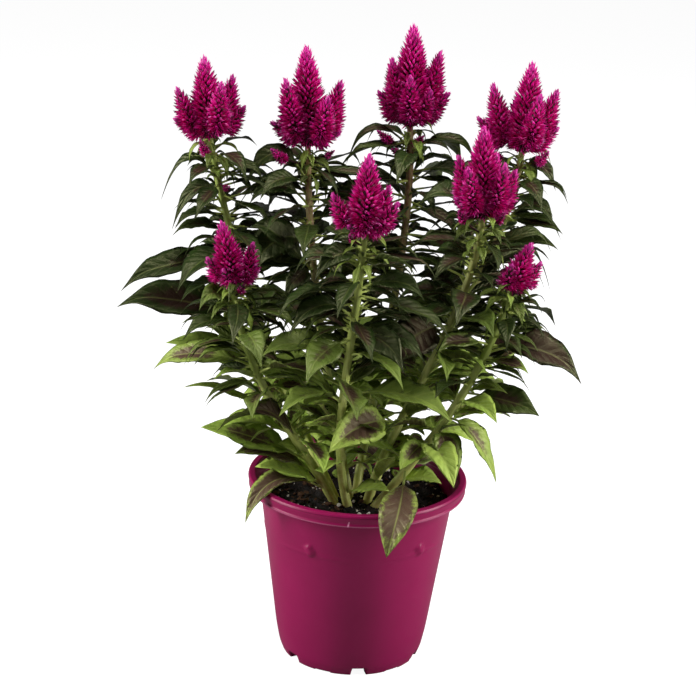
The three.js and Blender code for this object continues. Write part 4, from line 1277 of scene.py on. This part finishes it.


# flower heads: spikes with a dark core, covered in florets of narrow tepals; the core's dark colour is partly
# painted shade between the florets

floret = {
    "area": 12.5,  # surface per floret
    "tepals": 3, "keel": 0.5, "coreShare": 0.56, "coreRings": 18, "coreSides": 14, "seed": 7, "reach": 1.02,
    # how much further the longest florets reach than the shortest, how far they lean off in degrees, and how
    # their size and their opening vary
    "uneven": 0.16, "lean": 4.5, "sizeSpread": 0.05, "openSpread": 0.08, "footOut": 0.2,
    "apexShare": 0.8, "apexFrom": 0.8,  # the core swells to this share of the spike's radius towards its tip
    # along the spike: [place, floret length, tepal width, pitch in degrees, how far open it is]
    "habit": [
        [0.0, 7.6, 1.5, -18, 1.0],
        [0.1, 8.8, 1.8, 0, 0.6],
        [0.25, 10, 2.1, 18, 0.26],
        [0.5, 10.6, 2.1, 34, 0.06],
        [0.8, 10, 1.9, 52, 0.02],
        [0.93, 8, 1.5, 70, 0.0],
        [1.0, 7.0, 1.1, 86, 0.0],
    ],
    # how far a tepal stands from the middle of its floret, closed and open, at its three places, and how wide
    # it is at the first two
    "places": [0.34, 0.64, 1.0], "closed": [0.62, 0.56, 0.05], "open": [0.7, 1.1, 1.9],
    "widths": [0.95, 0.72],
}


def spikeCores(roots, tips, widest):
    # a smooth cone inside each spike, at a share of its radius
    s = np.linspace(0, 0.98, floret["coreRings"])
    side, other = crossDirections(unit(tips - roots))
    share = mix(floret["coreShare"], floret["apexShare"], ease(floret["apexFrom"], 0.95, s))
    radius = widest[:, None] * spikeOutline(s) * share
    around = roundAbout(turns(floret["coreSides"]), side[:, None], other[:, None])
    centre = roots[:, None] + (tips - roots)[:, None] * s[None, :, None] * 0.96
    grid = centre[:, :, None] + across(radius[:, :, None], around[:, None])
    place = stackValues(grid.shape[:3], 0.0, s[:, None], 0.5)
    ends = [stackValues(len(roots), 0.0, value, 0.5) for value in (0.0, 1.0)]
    return tubes(grid, roots, mix(roots, tips, 0.97), {"tepalPlace": stackTubes(place, *ends)})


def layFlorets(root, tip, widest, scale, draws):
    # Florets follow a golden-angle spiral with equal surface for each, and every floret ends on the spike's
    # outline. It stands out low down and leans up along the spike near the tip. A scale below 1 makes the
    # florets of a young spike.
    axis = unit(tip - root)
    length = np.linalg.norm(tip - root)
    radius = widest * spike["peak"] * floret["reach"]
    line = np.linspace(0, 1, 200)
    surface = np.cumsum(spikeOutline(line) + 0.04)
    total = 2 * math.pi * radius * length * spikeOutline(line).mean()
    count = int(total / floret["area"] / scale ** 2)
    s = np.interp((np.arange(count) + 0.5) / count, surface / surface[-1], line)
    places, *columns = np.array(floret["habit"]).T
    size, width, pitch, opening = (np.interp(s, places, column) for column in columns)
    radial = roundAbout(np.arange(count) * goldenAngle, *crossDirections(axis))
    flat = np.cross(axis, radial)
    pitch = np.radians(pitch + draws.normal(0, floret["lean"], count))[:, None]
    size = size * scale * (1 + draws.normal(0, floret["sizeSpread"], count))
    aside = np.radians(draws.normal(0, floret["lean"], count))[:, None]
    towards = unit(radial * np.cos(pitch) + axis * np.sin(pitch) + flat * aside)
    reach = radius * spikeOutline(s) * (1 + floret["uneven"] * draws.random(count))
    base = root + across(s * length, axis) + across(reach, radial) - across(size, towards)
    return s, size, width * scale, opening, base, towards, flat


def spikeTepals(root, tip, widest, scale, draws):
    # The tepals of a floret close into a bud near the spike's tip and open into a star low down. Each is a
    # keeled blade: a triangle at its first two places and its point at the third.
    s, size, width, opening, base, towards, flat = layFlorets(root, tip, widest, scale, draws)
    turn = turns(floret["tepals"]) + draws.random((len(s), 1)) * 6
    ring = roundAbout(turn, flat[:, None], np.cross(towards, flat)[:, None])
    opened = np.clip(opening[:, None] + draws.normal(0, floret["openSpread"], turn.shape), 0, 1.2)[..., None]
    tone = draws.random(len(s))[:, None]
    away = mix(np.array(floret["closed"]), np.array(floret["open"]), opened) * scale
    share = np.array(floret["places"])
    middle = base[:, None, None] + across(size[:, None, None] * share, towards[:, None, None])
    middle = middle + across(away, ring[:, :, None])
    ahead = unit(middle[:, :, 2] - middle[:, :, 0])
    level = unit(np.cross(ahead, ring))
    normal = np.cross(level, ahead)
    half = (width[:, None, None] / 2 * np.array(floret["widths"]))[..., None]
    blade, aside = middle[:, :, :2], level[:, :, None] * half
    grid = np.stack([blade - aside, blade + normal[:, :, None] * half * floret["keel"], blade + aside], 3)
    start = (base[:, None] + ring * floret["footOut"]).reshape(-1, 3)
    place = stackValues(grid.shape[:4], share[:2, None], s[:, None, None, None], tone[:, :, None, None])
    ends = [stackValues(turn.shape, value, s[:, None], tone).reshape(-1, 3) for value in (0.0, 1.0)]
    values = {"tepalPlace": stackTubes(place.reshape(-1, 2, 3, 3), *ends)}
    return tubes(grid.reshape(-1, 2, 3, 3), start, middle[:, :, 2].reshape(-1, 3), values)


# bright is partly the tepals' own magenta and partly a painted highlight; tip and dark carry painted glints
# and shade
flowerColours = {
    # deep is partly the tepals' own dark crimson at their feet and partly painted shade in the hollows
    # between florets
    "deep": "36000f", "body": "c0046a", "bright": "ee12a4", "tip": "f8a8e8", "dark": "40041c",
    "apex": "e42cae", "specular": 0.42,
}


def flowerMaterial():
    colours = flowerColours
    material, tree, shader = startMaterial("tepals", colours["specular"])
    along, s, own = readVector(tree, "tepalPlace")
    # painted shade, partly their own dark crimson: the tepals' feet and the core take the deep colour
    tone = blend(tree, spread(tree, along, 0.1, 0.55), colours["deep"], colours["body"])
    # a bright streak from the middle of each tepal outwards: partly its own brighter magenta, partly a
    # painted highlight
    brightStreakAndHighlight = times(tree, spread(tree, along, 0.35, 0.7), spread(tree, own, 0.0, 1.0, 0.35, 1.0))
    tone = blend(tree, brightStreakAndHighlight, tone, colours["bright"])
    # open florets low down end in pale pink, partly their own pale colour and partly painted glints, and of
    # the closed ones above, some end dark, a painted shade for the dark edges of the lit spikes
    pointed = spread(tree, along, 0.66, 0.9)
    pale = times(tree, spread(tree, own, 0.6, 1.0, 0.0, 0.9), spread(tree, s, 0.25, 0.6, 1.0, 0.35))
    tone = blend(tree, times(tree, pointed, pale), tone, colours["tip"])
    paintedDarkTips = times(tree, spread(tree, own, 0.75, 0.5, 0.0, 0.85), spread(tree, s, 0.95, 0.75))
    tone = blend(tree, times(tree, pointed, paintedDarkTips), tone, colours["dark"])
    tone = blend(tree, spread(tree, s, 0.75, 1.0, 0.0, 0.6), tone, colours["apex"])
    patches = mottled(tree, 300.0, 3.0, 0.35, 0.65)
    dress(tree, shader, tone, spread(tree, patches, 0.0, 1.0, 0.32, 0.5), patches, 0.15, 0.2)
    return material


# young spikes on short shoots from the leaf axils under a head: [place on the stem, tip, length, radius]
youngSpikes = {
    "far_left": [[0.955, [-130, 22, 402], 17, 3.8], [0.9, [-106, 20, 366], 7, 3.0]],
    "mid_left": [[0.955, [-77, 26, 396], 18, 4.4], [0.965, [-28, 38, 394], 10, 3.0]],
    "mid_back": [
        [0.955, [2, 60, 406], 17, 4.0], [0.96, [39, 58, 404], 15, 3.8], [0.94, [14, 58, 392], 8, 3.2],
    ],
    "far_right": [
        [0.955, [134, 42, 400], 15, 4.2], [0.94, [98, 42, 384], 10, 3.4], [0.965, [90, 50, 397], 12, 3.6],
    ],
    "right": [[0.955, [64, -33, 370], 12, 3.8], [0.965, [99, -28, 368], 10, 3.4]],
    "front": [[0.965, [-14, -82, 362], 8, 3.0]],
    "low_left": [[0.96, [-88, -62, 316], 9, 3.2]],
    "low_right": [[0.965, [112, -36, 316], 7, 2.8]],
}
shoot = {
    "rings": 6, "sides": 6, "radius": 0.9, "rise": 0.4, "bend": (0.6, 0.2), "into": 0.3,
    "florets": 0.62,  # the scale of the florets on a young spike
}


def youngSpikeParts(row, draws):
    # each one is a small spike of shorter florets, on a thin shoot that bends up from the stem into its foot
    parts = []
    t = np.linspace(0, 1, shoot["rings"])[:, None]
    for at, tip, length, radius in youngSpikes[row["name"]]:
        root, tip = stemPoint(row, at), np.array(tip, float)
        rising = unit(tip - root + up * np.linalg.norm(tip - root) * shoot["rise"])
        foot = tip - rising * length
        share, drop = shoot["bend"]
        bend = mix(root, foot, share) - rising * length * drop
        centre = arc(root, bend, mix(foot, tip, shoot["into"]), t)
        around = roundAbout(turns(shoot["sides"]), *crossDirections(rising))
        grid = (centre[:, None] + around * shoot["radius"])[None]
        place = stackValues(grid.shape[:3], 0.1, 0.3, 0.5)
        values = {"tepalPlace": stackTubes(place, place[:, 0, 0], place[:, 0, 0])}
        parts += [
            tubes(grid, centre[:1], centre[-1:], values),
            spikeCores(foot[None], tip[None], np.array([radius])),
            spikeTepals(foot, tip, radius, shoot["florets"], draws),
        ]
    return parts


def buildHeads():
    material = flowerMaterial()
    draws = np.random.default_rng(floret["seed"])
    for row in stems:
        start = headStart(row)
        tips = np.array(row["tips"], float)
        roots = np.array([spikeRoot(start, row["tips"], index) for index in range(len(tips))])
        widest = np.array([spikeRadius(roots[i], tips[i], i) for i in range(len(tips))])
        parts = [spikeCores(roots, tips, widest)]
        parts += [spikeTepals(roots[i], tips[i], widest[i], 1, draws) for i in range(len(tips))]
        parts += youngSpikeParts(row, draws)
        node = "flower_head_" + row["name"]
        addPiece("plume_" + row["name"], parts, material, [node], smooth=False)


buildHeads()
print("flower heads made")
